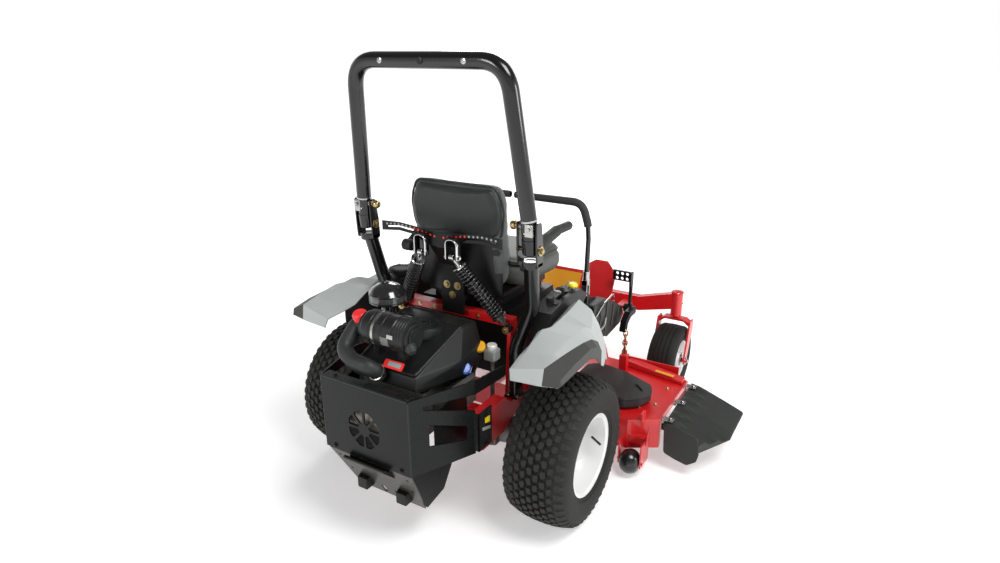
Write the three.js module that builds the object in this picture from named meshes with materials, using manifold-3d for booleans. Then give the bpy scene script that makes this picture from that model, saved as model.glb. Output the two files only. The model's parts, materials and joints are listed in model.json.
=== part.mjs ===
// Zero turn mower with a suspended operator platform, a folding roll bar and a side discharge deck.
// Millimetres. +X is the driver's left, +Y is the rear, +Z is up. Named y and z places are measured
// from the rear axle line and the ground; the last lines move the origin under the middle of the box.
import * as THREE from 'three';
import { mergeVertices } from 'three/addons/utils/BufferGeometryUtils.js';
import { ConvexGeometry } from 'three/addons/geometries/ConvexGeometry.js';
import Module from 'manifold-3d';

const wasm = await Module();
wasm.setup();

// ---- driving dimensions ----
const GAP = 0.3;                                  // between pieces that rest on each other
const TYRE = { radius: 305, half: 135, x: 529, bead: 112, rim: 156 };
const CASTER = { radius: 190.5, half: 76, x: 560, pivotY: -1323, axleY: -1263 };
const RAIL = { inner: 262, outer: 312, low: 400, top: 475, front: -1299.7, rear: 270 };
const ROPS = { tube: 30, x: 395, y: 63, z: 1130, pinY: 72, pinZ: 1217, topX: 337, topY: 137, topZ: 1784 };
const GUARD = { rearX: 207, rearY: 572, low: 385, top: 689, sideX: 300, sideY: 300, wall: 6 };
const BEAM = { front: -60, rear: -12, low: 765, top: 797, half: 268 };
const SHOCK_LOW = [266, 4, 766];
const SHOCK_TOP = [76, 110, 1062];
const DECK = { rear: -422, front: -985, nose: -1135, left: 770, right: 765, low: 98, top: 244, wall: 6 };
const SPINDLE = [[0, -855], [495, -690], [-495, -690]];
const BLADE = { half: 258, width: 64, thick: 6, z: 118 };
const HINGE = { x: -772, z: 238 };
const ROLLER = { x: 680, y: -372, z: 72, radius: 57 };
const LEVER = { x: 380, y: -480, pivotZ: 640, parkZ: 790 };
const PEDAL = { x: -405, y: -985, z: 550 };

// Right fender: at each y, the (x, z) line from its inner edge over the crown to the flare's lower edge.
// The second number moves the inner skin along Y, so that upright ends keep their thickness.
const FENDER = [
  [305, -5, [[-452, 722], [-470, 724], [-560, 730], [-578, 732], [-634, 741], [-638, 737]]],
  [293, -5, [[-442, 758], [-462, 764], [-560, 788], [-580, 795], [-643, 766], [-648, 745]]],
  [200, 0, [[-430, 770], [-452, 782], [-566, 800], [-596, 804], [-646, 782], [-649, 748]]],
  [140, 0, [[-430, 776], [-448, 802], [-568, 812], [-606, 808], [-647, 786], [-649, 750]]],
  [60, 0, [[-430, 812], [-448, 824], [-572, 824], [-620, 811], [-648, 790], [-649, 751]]],
  [0, 0, [[-430, 790], [-456, 814], [-576, 830], [-625, 802], [-648, 776], [-649, 725]]],
  [-50, 0, [[-430, 792], [-466, 828], [-580, 822], [-630, 774], [-647, 740], [-648, 680]]],
  [-100, 0, [[-430, 802], [-472, 840], [-580, 796], [-614, 752], [-630, 705], [-638, 650]]],
  [-160, 0, [[-430, 814], [-474, 853], [-556, 814], [-592, 762], [-612, 700], [-618, 640]]],
  [-215, 4, [[-430, 824], [-470, 861], [-526, 828], [-562, 772], [-588, 700], [-598, 625]]],
  [-246, 5, [[-430, 800], [-466, 832], [-518, 792], [-552, 742], [-582, 680], [-592, 612]]],
  [-258, 5, [[-430, 600], [-466, 600], [-518, 600], [-552, 600], [-580, 600], [-590, 600]]],
];
const FENDER_SKIN = [[0, 5], [0, 5], [0, 5], [2, 5], [5, 3], [5, 0]];

const FINISH = {
  red: { color: 0xc8141a, roughness: 0.35, metalness: 0.1 },
  black: { color: 0x111213, roughness: 0.35, metalness: 0.2 },
  plastic: { color: 0x1e1f1f, roughness: 0.6, metalness: 0 },
  grey: { color: 0xc7cac8, roughness: 0.55, metalness: 0 },
  rubber: { color: 0x1b1b1a, roughness: 0.85, metalness: 0 },
  white: { color: 0xf2f2f0, roughness: 0.3, metalness: 0.1 },
  steel: { color: 0x9a9a96, roughness: 0.35, metalness: 0.9 },
  cast: { color: 0x5c5c5a, roughness: 0.6, metalness: 0.6 },
  vinyl: { color: 0x3c4442, roughness: 0.6, metalness: 0 },
  yellow: { color: 0xf2c314, roughness: 0.45, metalness: 0 },
};

// ---- solids from three.js geometry ----
function solid(geometry) {
  const bare = geometry.index ? geometry.toNonIndexed() : geometry.clone();
  bare.deleteAttribute('normal');
  bare.deleteAttribute('uv');
  const merged = mergeVertices(bare, 1e-3);
  const mesh = new wasm.Mesh({
    numProp: 3,
    vertProperties: merged.attributes.position.array,
    triVerts: new Uint32Array(merged.index.array),
  });
  return new wasm.Manifold(mesh);
}

const join = (...pieces) => pieces.reduce((a, b) => a.add(b));
const cut = (body, ...tools) => tools.reduce((a, b) => a.subtract(b), body);
const mirrored = (body) => body.mirror([1, 0, 0]);

function box(x0, x1, y0, y1, z0, z1) {
  const g = new THREE.BoxGeometry(x1 - x0, y1 - y0, z1 - z0);
  return solid(g.translate((x0 + x1) / 2, (y0 + y1) / 2, (z0 + z1) / 2));
}

// A round bar between two points; a second radius makes it a cone.
function rod(from, to, radius, sides = 12, endRadius = radius) {
  const a = new THREE.Vector3(...from);
  const b = new THREE.Vector3(...to);
  const way = b.clone().sub(a);
  const g = new THREE.CylinderGeometry(endRadius, radius, way.length(), sides);
  const turn = new THREE.Quaternion().setFromUnitVectors(new THREE.Vector3(0, 1, 0), way.clone().normalize());
  g.applyQuaternion(turn).translate(...a.add(b).multiplyScalar(0.5));
  return solid(g);
}

function shapeOf(outline, holes = []) {
  const points = outline.map(([u, v]) => new THREE.Vector2(u, v));
  const shape = new THREE.Shape(THREE.ShapeUtils.isClockWise(points) ? points.reverse() : points);
  for (const hole of holes) shape.holes.push(new THREE.Path(hole.map(([u, v]) => new THREE.Vector2(u, v))));
  return shape;
}

// A closed sheet between an outer and an inner grid of points.
function sheet(outer, inner) {
  const rows = outer.length;
  const columns = outer[0].length;
  const at = (layer, i, j) => (layer * rows + i) * columns + j;
  const triangles = [];
  const quad = (a, b, c, d) => triangles.push(a, b, c, a, c, d);
  for (let i = 0; i < rows - 1; i += 1) {
    for (let j = 0; j < columns - 1; j += 1) {
      quad(at(0, i, j), at(0, i, j + 1), at(0, i + 1, j + 1), at(0, i + 1, j));
      quad(at(1, i, j), at(1, i + 1, j), at(1, i + 1, j + 1), at(1, i, j + 1));
    }
    quad(at(0, i, 0), at(0, i + 1, 0), at(1, i + 1, 0), at(1, i, 0));
    quad(at(0, i, columns - 1), at(1, i, columns - 1), at(1, i + 1, columns - 1), at(0, i + 1, columns - 1));
  }
  for (let j = 0; j < columns - 1; j += 1) {
    quad(at(0, 0, j), at(1, 0, j), at(1, 0, j + 1), at(0, 0, j + 1));
    quad(at(0, rows - 1, j), at(0, rows - 1, j + 1), at(1, rows - 1, j + 1), at(1, rows - 1, j));
  }
  const g = new THREE.BufferGeometry();
  g.setAttribute('position', new THREE.Float32BufferAttribute([...outer.flat(), ...inner.flat()].flat(), 3));
  g.setIndex(triangles);
  return solid(g);
}

// Plates: an outline in (y, z) with its thickness along X, in (x, z) along Y, or in (x, y) along Z.
function plateX(outline, x0, x1, holes) {
  const g = new THREE.ExtrudeGeometry(shapeOf(outline, holes), { depth: x1 - x0, bevelEnabled: false });
  const place = new THREE.Matrix4().makeBasis(
    new THREE.Vector3(0, 1, 0), new THREE.Vector3(0, 0, 1), new THREE.Vector3(1, 0, 0));
  return solid(g.applyMatrix4(place).translate(x0, 0, 0));
}

function plateY(outline, y0, y1, holes) {
  const g = new THREE.ExtrudeGeometry(shapeOf(outline, holes), { depth: y1 - y0, bevelEnabled: false });
  return solid(g.rotateX(Math.PI / 2).translate(0, y1, 0));
}

function plateZ(outline, z0, z1, holes) {
  const g = new THREE.ExtrudeGeometry(shapeOf(outline, holes), { depth: z1 - z0, bevelEnabled: false });
  return solid(g.translate(0, 0, z0));
}

// A profile of [radius, along] points, closed on itself or on the axis, turned about an axis line.
function turned(profile, axis, [x, y, z], sides) {
  const area = profile.reduce((sum, [r, a], i) => {
    const [r2, a2] = profile[(i + 1) % profile.length];
    return sum + r * a2 - r2 * a;
  }, 0);
  const points = (area > 0 ? profile : [...profile].reverse()).map(([r, a]) => new THREE.Vector2(r, a));
  const closed = points[0].x === 0 ? points : [...points, points[0].clone()];
  const g = new THREE.LatheGeometry(closed, sides);
  if (axis === 'x') g.rotateZ(-Math.PI / 2);
  if (axis === 'z') g.rotateX(Math.PI / 2);
  return solid(g.translate(x, y, z));
}

// A polyline whose corners are rounded by a bend radius, as one curve.
function bentPath(points, bend) {
  const at = points.map((p) => new THREE.Vector3(...p));
  const path = new THREE.CurvePath();
  let from = at[0];
  for (let i = 1; i < at.length - 1; i += 1) {
    const back = at[i - 1].clone().sub(at[i]);
    const on = at[i + 1].clone().sub(at[i]);
    const reach = Math.min(bend, 0.48 * back.length(), 0.48 * on.length());
    const start = at[i].clone().addScaledVector(back.normalize(), reach);
    const end = at[i].clone().addScaledVector(on.normalize(), reach);
    path.add(new THREE.LineCurve3(from, start));
    path.add(new THREE.QuadraticBezierCurve3(start, at[i], end));
    from = end;
  }
  path.add(new THREE.LineCurve3(from, at[at.length - 1]));
  return path;
}

function tube(points, radius, { bend = 60, sides = 10, steps = 24 } = {}) {
  const ring = [];
  for (let i = 0; i < sides; i += 1) {
    const turn = (2 * Math.PI * i) / sides;
    ring.push([radius * Math.cos(turn), radius * Math.sin(turn)]);
  }
  const extrudePath = bentPath(points, bend);
  return solid(new THREE.ExtrudeGeometry(shapeOf(ring), { steps, bevelEnabled: false, extrudePath }));
}

const hull = (points) => solid(new ConvexGeometry(points.map((p) => new THREE.Vector3(...p))));

function part(name, body, finish) {
  const made = body.getMesh();
  const g = new THREE.BufferGeometry();
  g.setAttribute('position', new THREE.BufferAttribute(made.vertProperties.slice(), 3));
  g.setIndex(new THREE.BufferAttribute(made.triVerts.slice(), 1));
  g.computeVertexNormals();
  const mesh = new THREE.Mesh(g, new THREE.MeshStandardMaterial(FINISH[finish]));
  mesh.name = name;
  return mesh;
}

// Both sides of a piece that is modelled for the driver's right, at negative X.
const pair = (name, body, finish) => [part(name + '_r', body, finish), part(name + '_l', mirrored(body), finish)];

// ---- chassis ----
function frame() {
  const rail = plateX([[RAIL.front, RAIL.low], [60, RAIL.low], [110, 365], [RAIL.rear, 365], [RAIL.rear, 520],
    [110, 520], [60, RAIL.top], [RAIL.front, RAIL.top]], -RAIL.outer, -RAIL.inner);
  const upright = plateX([[BEAM.front, 430], [10, 430], [BEAM.rear, BEAM.top], [BEAM.front, BEAM.top]], -268, -252);
  const shockPin = join(
    rod([-SHOCK_LOW[0], BEAM.rear - 4, SHOCK_LOW[2]], [-SHOCK_LOW[0], 24, SHOCK_LOW[2]], 7, 12),
    rod([-SHOCK_LOW[0], 21, SHOCK_LOW[2]], [-SHOCK_LOW[0], 28, SHOCK_LOW[2]], 13, 6));
  const pedalBracket = join(
    box(-RAIL.outer - 7, -RAIL.outer + 1, PEDAL.y - 22, PEDAL.y + 22, RAIL.low + 20, PEDAL.z + 20),
    rod([-RAIL.outer - 4, PEDAL.y, PEDAL.z], [PEDAL.x - 24, PEDAL.y, PEDAL.z], 9, 12));
  const side = join(rail, upright, shockPin);
  const cross = join(
    box(-RAIL.inner - 2, RAIL.inner + 2, -560, -500, 402, 452),
    box(-RAIL.inner - 2, RAIL.inner + 2, 215, 255, 380, 432),
    box(-RAIL.inner - 2, RAIL.inner + 2, 90, 130, 400, 440),
    box(-BEAM.half, BEAM.half, BEAM.front, BEAM.rear, BEAM.low, BEAM.top));
  return join(side, mirrored(side), cross, pedalBracket);
}

function frontAxle() {
  const { x, pivotY } = CASTER;
  const back = RAIL.front - GAP;
  const beam = plateY([[-x + 22, 548], [-350, 500], [350, 500], [x - 22, 548], [x - 22, 458], [350, 416],
    [-350, 416], [-x + 22, 458]], pivotY - 22, back);
  const sleeve = (side) => rod([side * x, pivotY, 424], [side * x, pivotY, 556], 31, 20);
  const bore = (side) => rod([side * x, pivotY, 420], [side * x, pivotY, 560], 17, 12);
  return cut(join(beam, sleeve(1), sleeve(-1)), bore(1), bore(-1));
}

function engineGuard() {
  const { rearX, rearY, low, top, sideX, sideY, wall } = GUARD;
  const ventHoles = [0, 1, 2, 3, 4, 5].map((i) => {
    const mid = (i * Math.PI) / 3;
    const arc = (radius, turn) => [6 + radius * Math.cos(turn), 514 + radius * Math.sin(turn)];
    return [arc(26, mid - 0.3), arc(73, mid - 0.38), arc(78, mid), arc(73, mid + 0.38), arc(26, mid + 0.3)];
  });
  const face = plateY([[-rearX, low], [rearX, low], [rearX, top], [-rearX, top]], rearY - wall, rearY, ventHoles);
  const flange = box(-rearX + 6, rearX - 6, rearY - 40, rearY, top - wall, top);
  const run = Math.hypot(sideX - rearX, rearY - sideY);
  const sheet = plateX([[0, low], [-run, 366], [-run, 552], [-60, 634], [-60, 650], [-run, 618],
    [-run, 674], [0, top]], 0, wall, [[[-250, 440], [-82, 482], [-82, 570], [-250, 500]]]);
  const lean = (Math.atan2(sideX - rearX, rearY - sideY) * 180) / Math.PI;
  const side = sheet.rotate([0, 0, -lean]).translate([-rearX, rearY, 0]);
  const band = plateX([[88, 600], [sideY + 4, 618], [sideY + 4, 674], [88, 650]], -sideX, -sideX + wall);
  const foot = join(
    box(-320, -RAIL.outer - GAP, 215, sideY + 6, 380, 540),
    box(-320, -sideX + wall, sideY, sideY + 6, 380, 540));
  const half = join(side, band, foot);
  return join(face, flange, half, mirrored(half));
}

// The pan below the guard: a sloping plate, two side walls, a step and two bump blocks.
function guardFoot() {
  const top = { y: 562, z: GUARD.low - 4 };
  const low = { y: 448, z: 159 };
  const plate = hull([[-200, top.y, top.z], [200, top.y, top.z], [-200, top.y - 8, top.z], [200, top.y - 8, top.z],
    [-165, low.y, low.z], [165, low.y, low.z], [-165, low.y - 8, low.z + 4], [165, low.y - 8, low.z + 4]]);
  const wall = plateX([[556, 380], [448, 160], [340, 185], [262, 300], [262, 362], [545, 380]], -170, -164);
  const step = plateX([[518, 300], [600, 378], [600, 386], [590, 386], [512, 312]], -90, 90);
  const block = (x) => box(x - 24, x + 24, 466, 514, 190, 240);
  return join(plate, wall, mirrored(wall), step, block(97), block(-97));
}

function ropsPost() {
  const { x, y, z, tube: r } = ROPS;
  const leg = tube([[-298, 0, RAIL.top + GAP], [-300, 0, 690], [-318, 0, 740], [-377, 8, 885], [-x, y - 6, 1100]], r - 1,
    { bend: 70, sides: 8, steps: 11 });
  const outline = [[y - 30, 1062], [y + 30, 1062], [y + 30, 1150], [y + 32, 1238], [y - 10, 1238], [y - 28, 1150]];
  const cheeks = join(plateX(outline, -x - 41, -x - 34), plateX(outline, -x + 40, -x + 46));
  const collar = box(-x - 41, -x + 46, y - 30, y + 26, 1062, 1092);
  const pivot = rod([-x - 49, y, z], [-x + 52, y, z], 8, 12);
  const hole = rod([-x, ROPS.pinY, ROPS.pinZ], [-x + 60, ROPS.pinY, ROPS.pinZ], 9.5, 12);
  return cut(join(leg, cheeks, collar, pivot), hole);
}

// The upper half of the roll bar; its foot is notched to the front, round the lock pin.
function ropsHoop() {
  const { x, y, z, pinY, pinZ, topX, topY, topZ, tube: r } = ROPS;
  const feet = [[-x, 68, 1172], [-x + 3, 76, 1250]];
  const path = [...feet, [-topX, topY, topZ], [topX, topY, topZ], [x - 3, 76, 1250], [x, 68, 1172]];
  const bar = tube(path, r, { bend: 150, sides: 8, steps: 30 });
  const tongue = (side) => hull([[side * x - 26, y - 20, z - 12], [side * x + 26, y - 20, z - 12],
    [side * x - 26, y + 20, z - 12], [side * x + 26, y + 20, z - 12], [side * x - 26, y - 8, z - 23],
    [side * x + 26, y - 8, z - 23], [side * x - 26, y + 8, z - 23], [side * x + 26, y + 8, z - 23],
    [side * x - 26, 44, 1180], [side * x + 26, 44, 1180], [side * x - 26, 92, 1180], [side * x + 26, 92, 1180]]);
  const bore = (side) => rod([side * x - 60, y, z], [side * x + 60, y, z], 9.5, 12);
  const notch = (side) => box(side * x - 60, side * x + 60, 0, pinY + 10, pinZ - 10, pinZ + 10);
  return cut(join(bar, tongue(1), tongue(-1)), bore(1), bore(-1), notch(1), notch(-1));
}

function ropsPin() {
  const { x, pinY, pinZ } = ROPS;
  return join(
    rod([-x - 20, pinY, pinZ], [-x + 70, pinY, pinZ], 8, 12),
    rod([-x + 58, pinY, pinZ], [-x + 80, pinY, pinZ], 16, 12));
}

// The fender over the drive wheel: a sheet lofted through its sections, and its inner wall.
function fender() {
  const outer = FENDER.map(([y, , line]) => line.map(([x, z]) => [x, y, z]));
  const inner = FENDER.map(([y, shift, line]) => line.map(([x, z], i) => {
    const [inward, down] = FENDER_SKIN[i];
    return [x + inward, y + shift, z - down];
  }));
  const wall = plateX([[200, 768], [140, 774], [60, 810], [0, 788], [-50, 790], [-246, 798], [-246, 700], [-60, 690],
    [60, 660], [200, 700]], -434, -428);
  return join(sheet(outer, inner), wall);
}

// The control pod beside the seat: inner panel, knob console and the long lower body in front of it.
function consoleRight() {
  const panel = plateX([[-60, 700], [-60, 840], [-240, 870], [-400, 850], [-520, 760], [-950, 585], [-950, 520],
    [-700, 480], [-420, 500], [-100, 640]], -352, -336, [[[-560, 590], [-420, 590], [-420, 720], [-560, 720]]]);
  const console = plateX([[-60, 740], [-60, 838], [-200, 866], [-330, 862], [-400, 820], [-330, 760]], -424, -337);
  const pod = plateX([[-545, 590], [-545, 700], [-700, 690], [-900, 590], [-930, 540], [-880, 500], [-720, 486],
    [-600, 540]], -398, -337);
  const knobHole = rod([-400, -300, 800], [-400, -300, 900], 9, 12);
  const slot = box(-404, -384, -262, -168, 812, 900);
  return cut(join(panel, console, pod), knobHole, slot);
}

function fuelTank() {
  const body = plateX([[-60, 700], [-60, 838], [-200, 866], [-330, 862], [-398, 820], [-398, 740], [-370, 650],
    [-150, 650]], 316, 426);
  return join(body, rod([370, -105, 830], [370, -105, 866], 38, 12));
}

function fuelCap() {
  return join(
    rod([370, -105, 866 + GAP], [370, -105, 884], 54, 20),
    rod([370, -105, 883], [370, -105, 892], 50, 20, 43));
}

function engineBlock() {
  return join(
    box(-150, 150, 110, 415, 440 + GAP, 628),
    hull([[-150, 160, 600], [-150, 360, 600], [-150, 160, 480], [-150, 360, 480], [-236, 190, 640], [-236, 330, 640],
      [-236, 190, 520], [-236, 330, 520]]),
    hull([[150, 160, 600], [150, 360, 600], [150, 160, 480], [150, 360, 480], [236, 190, 640], [236, 330, 640],
      [236, 190, 520], [236, 330, 520]]));
}

function engineCover() {
  const shroud = hull([[-157, 75, 812], [157, 75, 812], [-157, 170, 812], [157, 170, 812], [-142, 450, 700],
    [142, 450, 700], [-150, 462, 660], [150, 462, 660], [-205, 250, 712], [205, 250, 712], [-190, 90, 720],
    [190, 90, 720], [-205, 250, 645], [205, 250, 645], [-190, 75, 645], [190, 75, 645], [-150, 440, 645],
    [150, 440, 645]]);
  return join(shroud, rod([0, 240, 700], [0, 240, 790], 84, 20));
}

const airCleaner = () => join(
  turned([[0, -124], [48, -124], [50, -114], [67, -110], [67, 82], [56, 98], [56, 106], [0, 106]], 'x',
    [0, 405, 846], 20),
  box(-70, -40, 387, 423, 742, 786),
  box(40, 70, 387, 423, 742, 786));

const precleaner = () => join(
  turned([[0, 876], [66, 876], [72, 882], [72, 914], [60, 938], [32, 954], [0, 957]], 'z', [150, 240, 0], 24),
  rod([150, 240, 812], [150, 240, 880], 28, 12));

const intakeHose = () => tube([[107, 405, 846], [158, 405, 846], [160, 492, 770], [96, 508, 742], [12, 508, 738],
  [12, 462, 690]], 29, { bend: 40, sides: 10, steps: 18 });

const muffler = () => join(
  rod([-150, 495, 540], [150, 495, 540], 58, 20),
  rod([-90, 495, 540], [-90, 418, 540], 20, 12),
  rod([90, 495, 540], [90, 418, 540], 20, 12));

// A hydrostatic drive unit: gear case, pump with its filter, reservoir and output shaft.
function transaxle() {
  const { x, radius } = TYRE;
  return join(
    hull([[-120, -70, 240], [-120, 90, 240], [-120, -70, 372], [-120, 90, 372], [-250, -60, 255], [-250, 80, 255],
      [-250, -60, 365], [-250, 80, 365]]),
    rod([-245, 0, radius], [-372, 0, radius], 62, 20, 48),
    rod([-370, 0, radius], [-x + 30, 0, radius], 19, 12),
    rod([-185, 10, 360], [-185, 10, 395], 44, 12),
    rod([-215, 46, 360], [-215, 46, 660], 9, 8),
    hull([[-252, 35, 640], [-192, 35, 640], [-252, 85, 640], [-192, 85, 640], [-252, 35, 700], [-192, 35, 700],
      [-252, 85, 700], [-192, 85, 700]]));
}

// ---- wheels ----
function tyre() {
  const { radius, half, x, bead, rim } = TYRE;
  const outer = [[rim, bead], [172, bead], [178, 124], [235, half], [284, 121], [radius, 84]];
  const inner = [[291, 80], [235, 121], [182, 110], [rim, 98]];
  const loop = [...outer, ...outer.map(([r, a]) => [r, -a]).reverse(), ...inner.map(([r, a]) => [r, -a]).reverse(),
    ...inner];
  return turned(loop, 'x', [-x, 0, radius], 20);
}

function rim() {
  const { radius, x, bead, rim: seat } = TYRE;
  const face = -bead - GAP - 6;
  const loop = [[22, 40], [22, -30], [60, -30], [seat - 9, -52], [seat - 9, face], [170, face], [170, -bead - GAP],
    [seat - 3, -bead - GAP], [seat - 3, bead + GAP], [170, bead + GAP], [170, -face], [seat - 9, -face],
    [seat - 9, -44], [44, 40]];
  return turned(loop, 'x', [-x, 0, radius], 16);
}

function casterFork() {
  const { x, half, pivotY, axleY, radius } = CASTER;
  const legX = half + 8;
  const leg = plateX([[pivotY - 28, 410], [pivotY + 28, 410], [axleY + 26, 205], [axleY + 22, 176], [axleY, 164],
    [axleY - 22, 176], [axleY - 26, 205], [pivotY - 28, 360]], -x - legX - 10, -x - legX);
  const crown = plateY([[-x - legX - 10, 380], [-x - legX, 380], [-x - 52, 404], [-x + 52, 404], [-x + legX, 380],
    [-x + legX + 10, 380], [-x + legX + 10, 392], [-x + 58, 416], [-x - 58, 416], [-x - legX - 10, 392]],
  pivotY - 28, pivotY + 28);
  return join(leg, leg.translate([2 * legX + 10, 0, 0]), crown,
    rod([-x, pivotY, 410], [-x, pivotY, 562], 15, 12),
    rod([-x, pivotY, 557 + GAP], [-x, pivotY, 566], 27, 12),
    rod([-x - legX - 20, axleY, radius], [-x + legX + 20, axleY, radius], 12, 12));
}

function casterWheel() {
  const { x, axleY, radius } = CASTER;
  const half = [[14, 66], [34, 66], [34, 10], [76, 10], [76, 60], [150, 76], [181, 66], [radius, 46]];
  const loop = [...half, ...half.map(([r, a]) => [r, -a]).reverse()];
  return turned(loop, 'x', [-x, axleY, radius], 18);
}

// ---- suspended operator platform ----
function platformFloor() {
  const floor = box(-228, 228, -960, -474, 490, 497);
  const bow = [[-300, 0], [-300, 190], [-268, 262], [-236, 284], [-176, 284], [-146, 258], [-134, 214], [134, 214],
    [146, 258], [176, 284], [236, 284], [268, 262], [300, 190], [300, 0]];
  const footRest = plateZ(bow, -6, 0).rotate([180 - 64, 0, 0]).translate([0, -957, 496]);
  const heel = box(-228, 228, -966, -950, 488, 500);
  return join(floor, heel, footRest);
}

// Seat base, the slide rails on it, the arm over the cross beam and the tower that holds the shocks.
function seatTower() {
  const base = cut(box(-222, 222, -470, -75, 505, 803), box(-219, 219, -467, -78, 500, 800));
  const slide = (side) => box(side * 150 - 14, side * 150 + 14, -462, -90, 802, 828);
  const riser = box(-60, 60, -130, -75, 802, 866);
  const arm = box(-60, 60, -80, 10, 846, 866);
  const tower = plateX([[0, 782], [10, 782], [10, 990], [80, 1084], [84, 1140], [76, 1140], [70, 1088], [0, 996]],
    -55, 55);
  const stub = (side) => join(
    box(Math.min(side * 220, side * 357), Math.max(side * 220, side * 357), LEVER.y - 18, LEVER.y + 18, 622, 658)
      .translate([0, 22, 0]),
    rod([side * 350, LEVER.y, LEVER.pivotZ], [side * 410, LEVER.y, LEVER.pivotZ], 10, 12));
  return join(base, slide(1), slide(-1), riser, arm, tower, stub(1), stub(-1));
}

// The gull-wing bracket behind the tower, with its curved slots and the two shock clevises.
function shockBracket() {
  const arm = [[0, 1146], [60, 1147], [130, 1156], [200, 1162], [290, 1158], [290, 1118], [200, 1128], [120, 1121],
    [70, 1096], [0, 1084]];
  const outline = [...arm, ...arm.slice(1, -1).map(([u, v]) => [-u, v]).reverse()];
  const slots = [1, -1].map((side) => {
    const slot = [[92, 1112], [130, 1134], [200, 1141], [262, 1134], [262, 1140], [200, 1148], [128, 1142], [88, 1119]];
    return slot.map(([u, v]) => [side * u, v]);
  });
  const plate = plateY(outline, 84 + GAP, 90, slots);
  const [topX, topY, topZ] = SHOCK_TOP;
  const clevis = (side) => join(
    box(side * topX - 25, side * topX - 20, 89, topY + 10, topZ - 9, 1138),
    box(side * topX + 20, side * topX + 25, 89, topY + 10, topZ - 9, 1138),
    box(side * topX - 25, side * topX + 25, 89, topY + 10, 1132, 1138),
    rod([side * topX - 29, topY, topZ], [side * topX + 29, topY, topZ], 5, 10));
  return join(plate, clevis(1), clevis(-1));
}

function seatPan() {
  const pan = box(-205, 205, -470, -55, 869, 885);
  const runner = (side) => box(Math.min(side * 122, side * 186), Math.max(side * 122, side * 186), -455, -82,
    828 + GAP, 870);
  return join(pan, runner(1), runner(-1));
}

function seatCushion() {
  return hull([[-245, -512, 905], [245, -512, 905], [-264, -490, 955], [264, -490, 955], [-245, -460, 1000],
    [245, -460, 1000], [-245, -150, 1000], [245, -150, 1000], [-264, -140, 955], [264, -140, 955], [-245, -132, 886],
    [245, -132, 886], [-235, -476, 886], [235, -476, 886]]);
}

function seatBack() {
  const shell = hull([[-205, -12, 846], [205, -12, 846], [-205, -54, 846], [205, -54, 846], [-235, -8, 950],
    [235, -8, 950], [-240, -130, 960], [240, -130, 960], [-225, 4, 1200], [225, 4, 1200], [-205, 4, 1290],
    [205, 4, 1290], [-165, -4, 1338], [165, -4, 1338], [-165, -70, 1340], [165, -70, 1340], [-205, -92, 1290],
    [205, -92, 1290], [-232, -112, 1180], [232, -112, 1180], [-205, -128, 890], [205, -128, 890]]);
  const tunnel = box(-80, 80, -200, 30, 800, 868);
  const lug = (side) => rod([side * 225, -84, 1010], [side * 272, -84, 1010], 11, 12);
  return join(cut(shell, tunnel), lug(1), lug(-1)).subtract(box(-300, 300, -300, -53, 800, 885 + GAP));
}

function armrest() {
  const pad = plateX([[-62, 992], [-56, 1022], [-120, 1056], [-250, 1108], [-330, 1122], [-440, 1114], [-462, 1100],
    [-460, 1086], [-430, 1078], [-330, 1078], [-240, 1060], [-120, 998]], -324, -276);
  const eye = rod([-324, -84, 1010], [-276, -84, 1010], 26, 12);
  return cut(join(pad, eye), rod([-330, -84, 1010], [-270, -84, 1010], 12.5, 12))
    .add(rod([-324, -84, 1010], [-318, -84, 1010], 24, 12))
    .subtract(rod([-316, -84, 1010], [-270, -84, 1010], 12.5, 12));
}

// ---- shocks: body with the lower eye, spring and rod with the upper eye, along one line ----
const shockDown = new THREE.Vector3(-SHOCK_LOW[0], SHOCK_LOW[1], SHOCK_LOW[2]);
const shockUp = new THREE.Vector3(-SHOCK_TOP[0], SHOCK_TOP[1], SHOCK_TOP[2]);
const shockWay = shockUp.clone().sub(shockDown).normalize();
const shockLength = shockUp.distanceTo(shockDown);
const alongShock = (s) => shockDown.clone().addScaledVector(shockWay, s).toArray();

function shockBody() {
  const { x, y, z } = shockDown;
  const eye = rod([x, y - 9, z], [x, y + 9, z], 17, 12);
  const bore = rod([x, y - 12, z], [x, y + 12, z], 9, 8);
  const barrel = join(eye, rod(alongShock(12), alongShock(44), 9, 10), rod(alongShock(40), alongShock(255), 19, 10),
    rod(alongShock(62), alongShock(72), 31, 10));
  return cut(barrel, bore, rod(alongShock(150), alongShock(262), 8, 10));
}

function shockRod() {
  const { x, y, z } = shockUp;
  const eye = rod([x - 10, y, z], [x + 10, y, z], 14, 12);
  const bore = rod([x - 14, y, z], [x + 14, y, z], 8, 10);
  const stem = join(eye, rod(alongShock(shockLength - 44), alongShock(shockLength - 26), 12, 10),
    rod(alongShock(205), alongShock(shockLength - 11), 6.5, 10),
    rod(alongShock(shockLength - 52), alongShock(shockLength - 42), 31, 10));
  return cut(stem, bore);
}

function shockSpring() {
  const from = 72 + GAP;
  const to = shockLength - 52 - GAP;
  return cut(rod(alongShock(from), alongShock(to), 30, 14), rod(alongShock(from - 5), alongShock(to + 5), 22, 14));
}

// ---- levers ----
function controlShaft() {
  const { x, y, pivotZ, parkZ } = LEVER;
  const hub = rod([-x - 20, y, pivotZ], [-x + 20, y, pivotZ], 22, 12);
  const bar = box(-x - 12, -x + 12, y - 5, y + 5, pivotZ + 10, parkZ + 16);
  const pin = rod([-x, y - 22, parkZ], [-x, y + 22, parkZ], 6, 12);
  return cut(join(hub, bar, pin), rod([-x - 40, y, pivotZ], [-x + 40, y, pivotZ], 11.5, 12));
}

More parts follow.
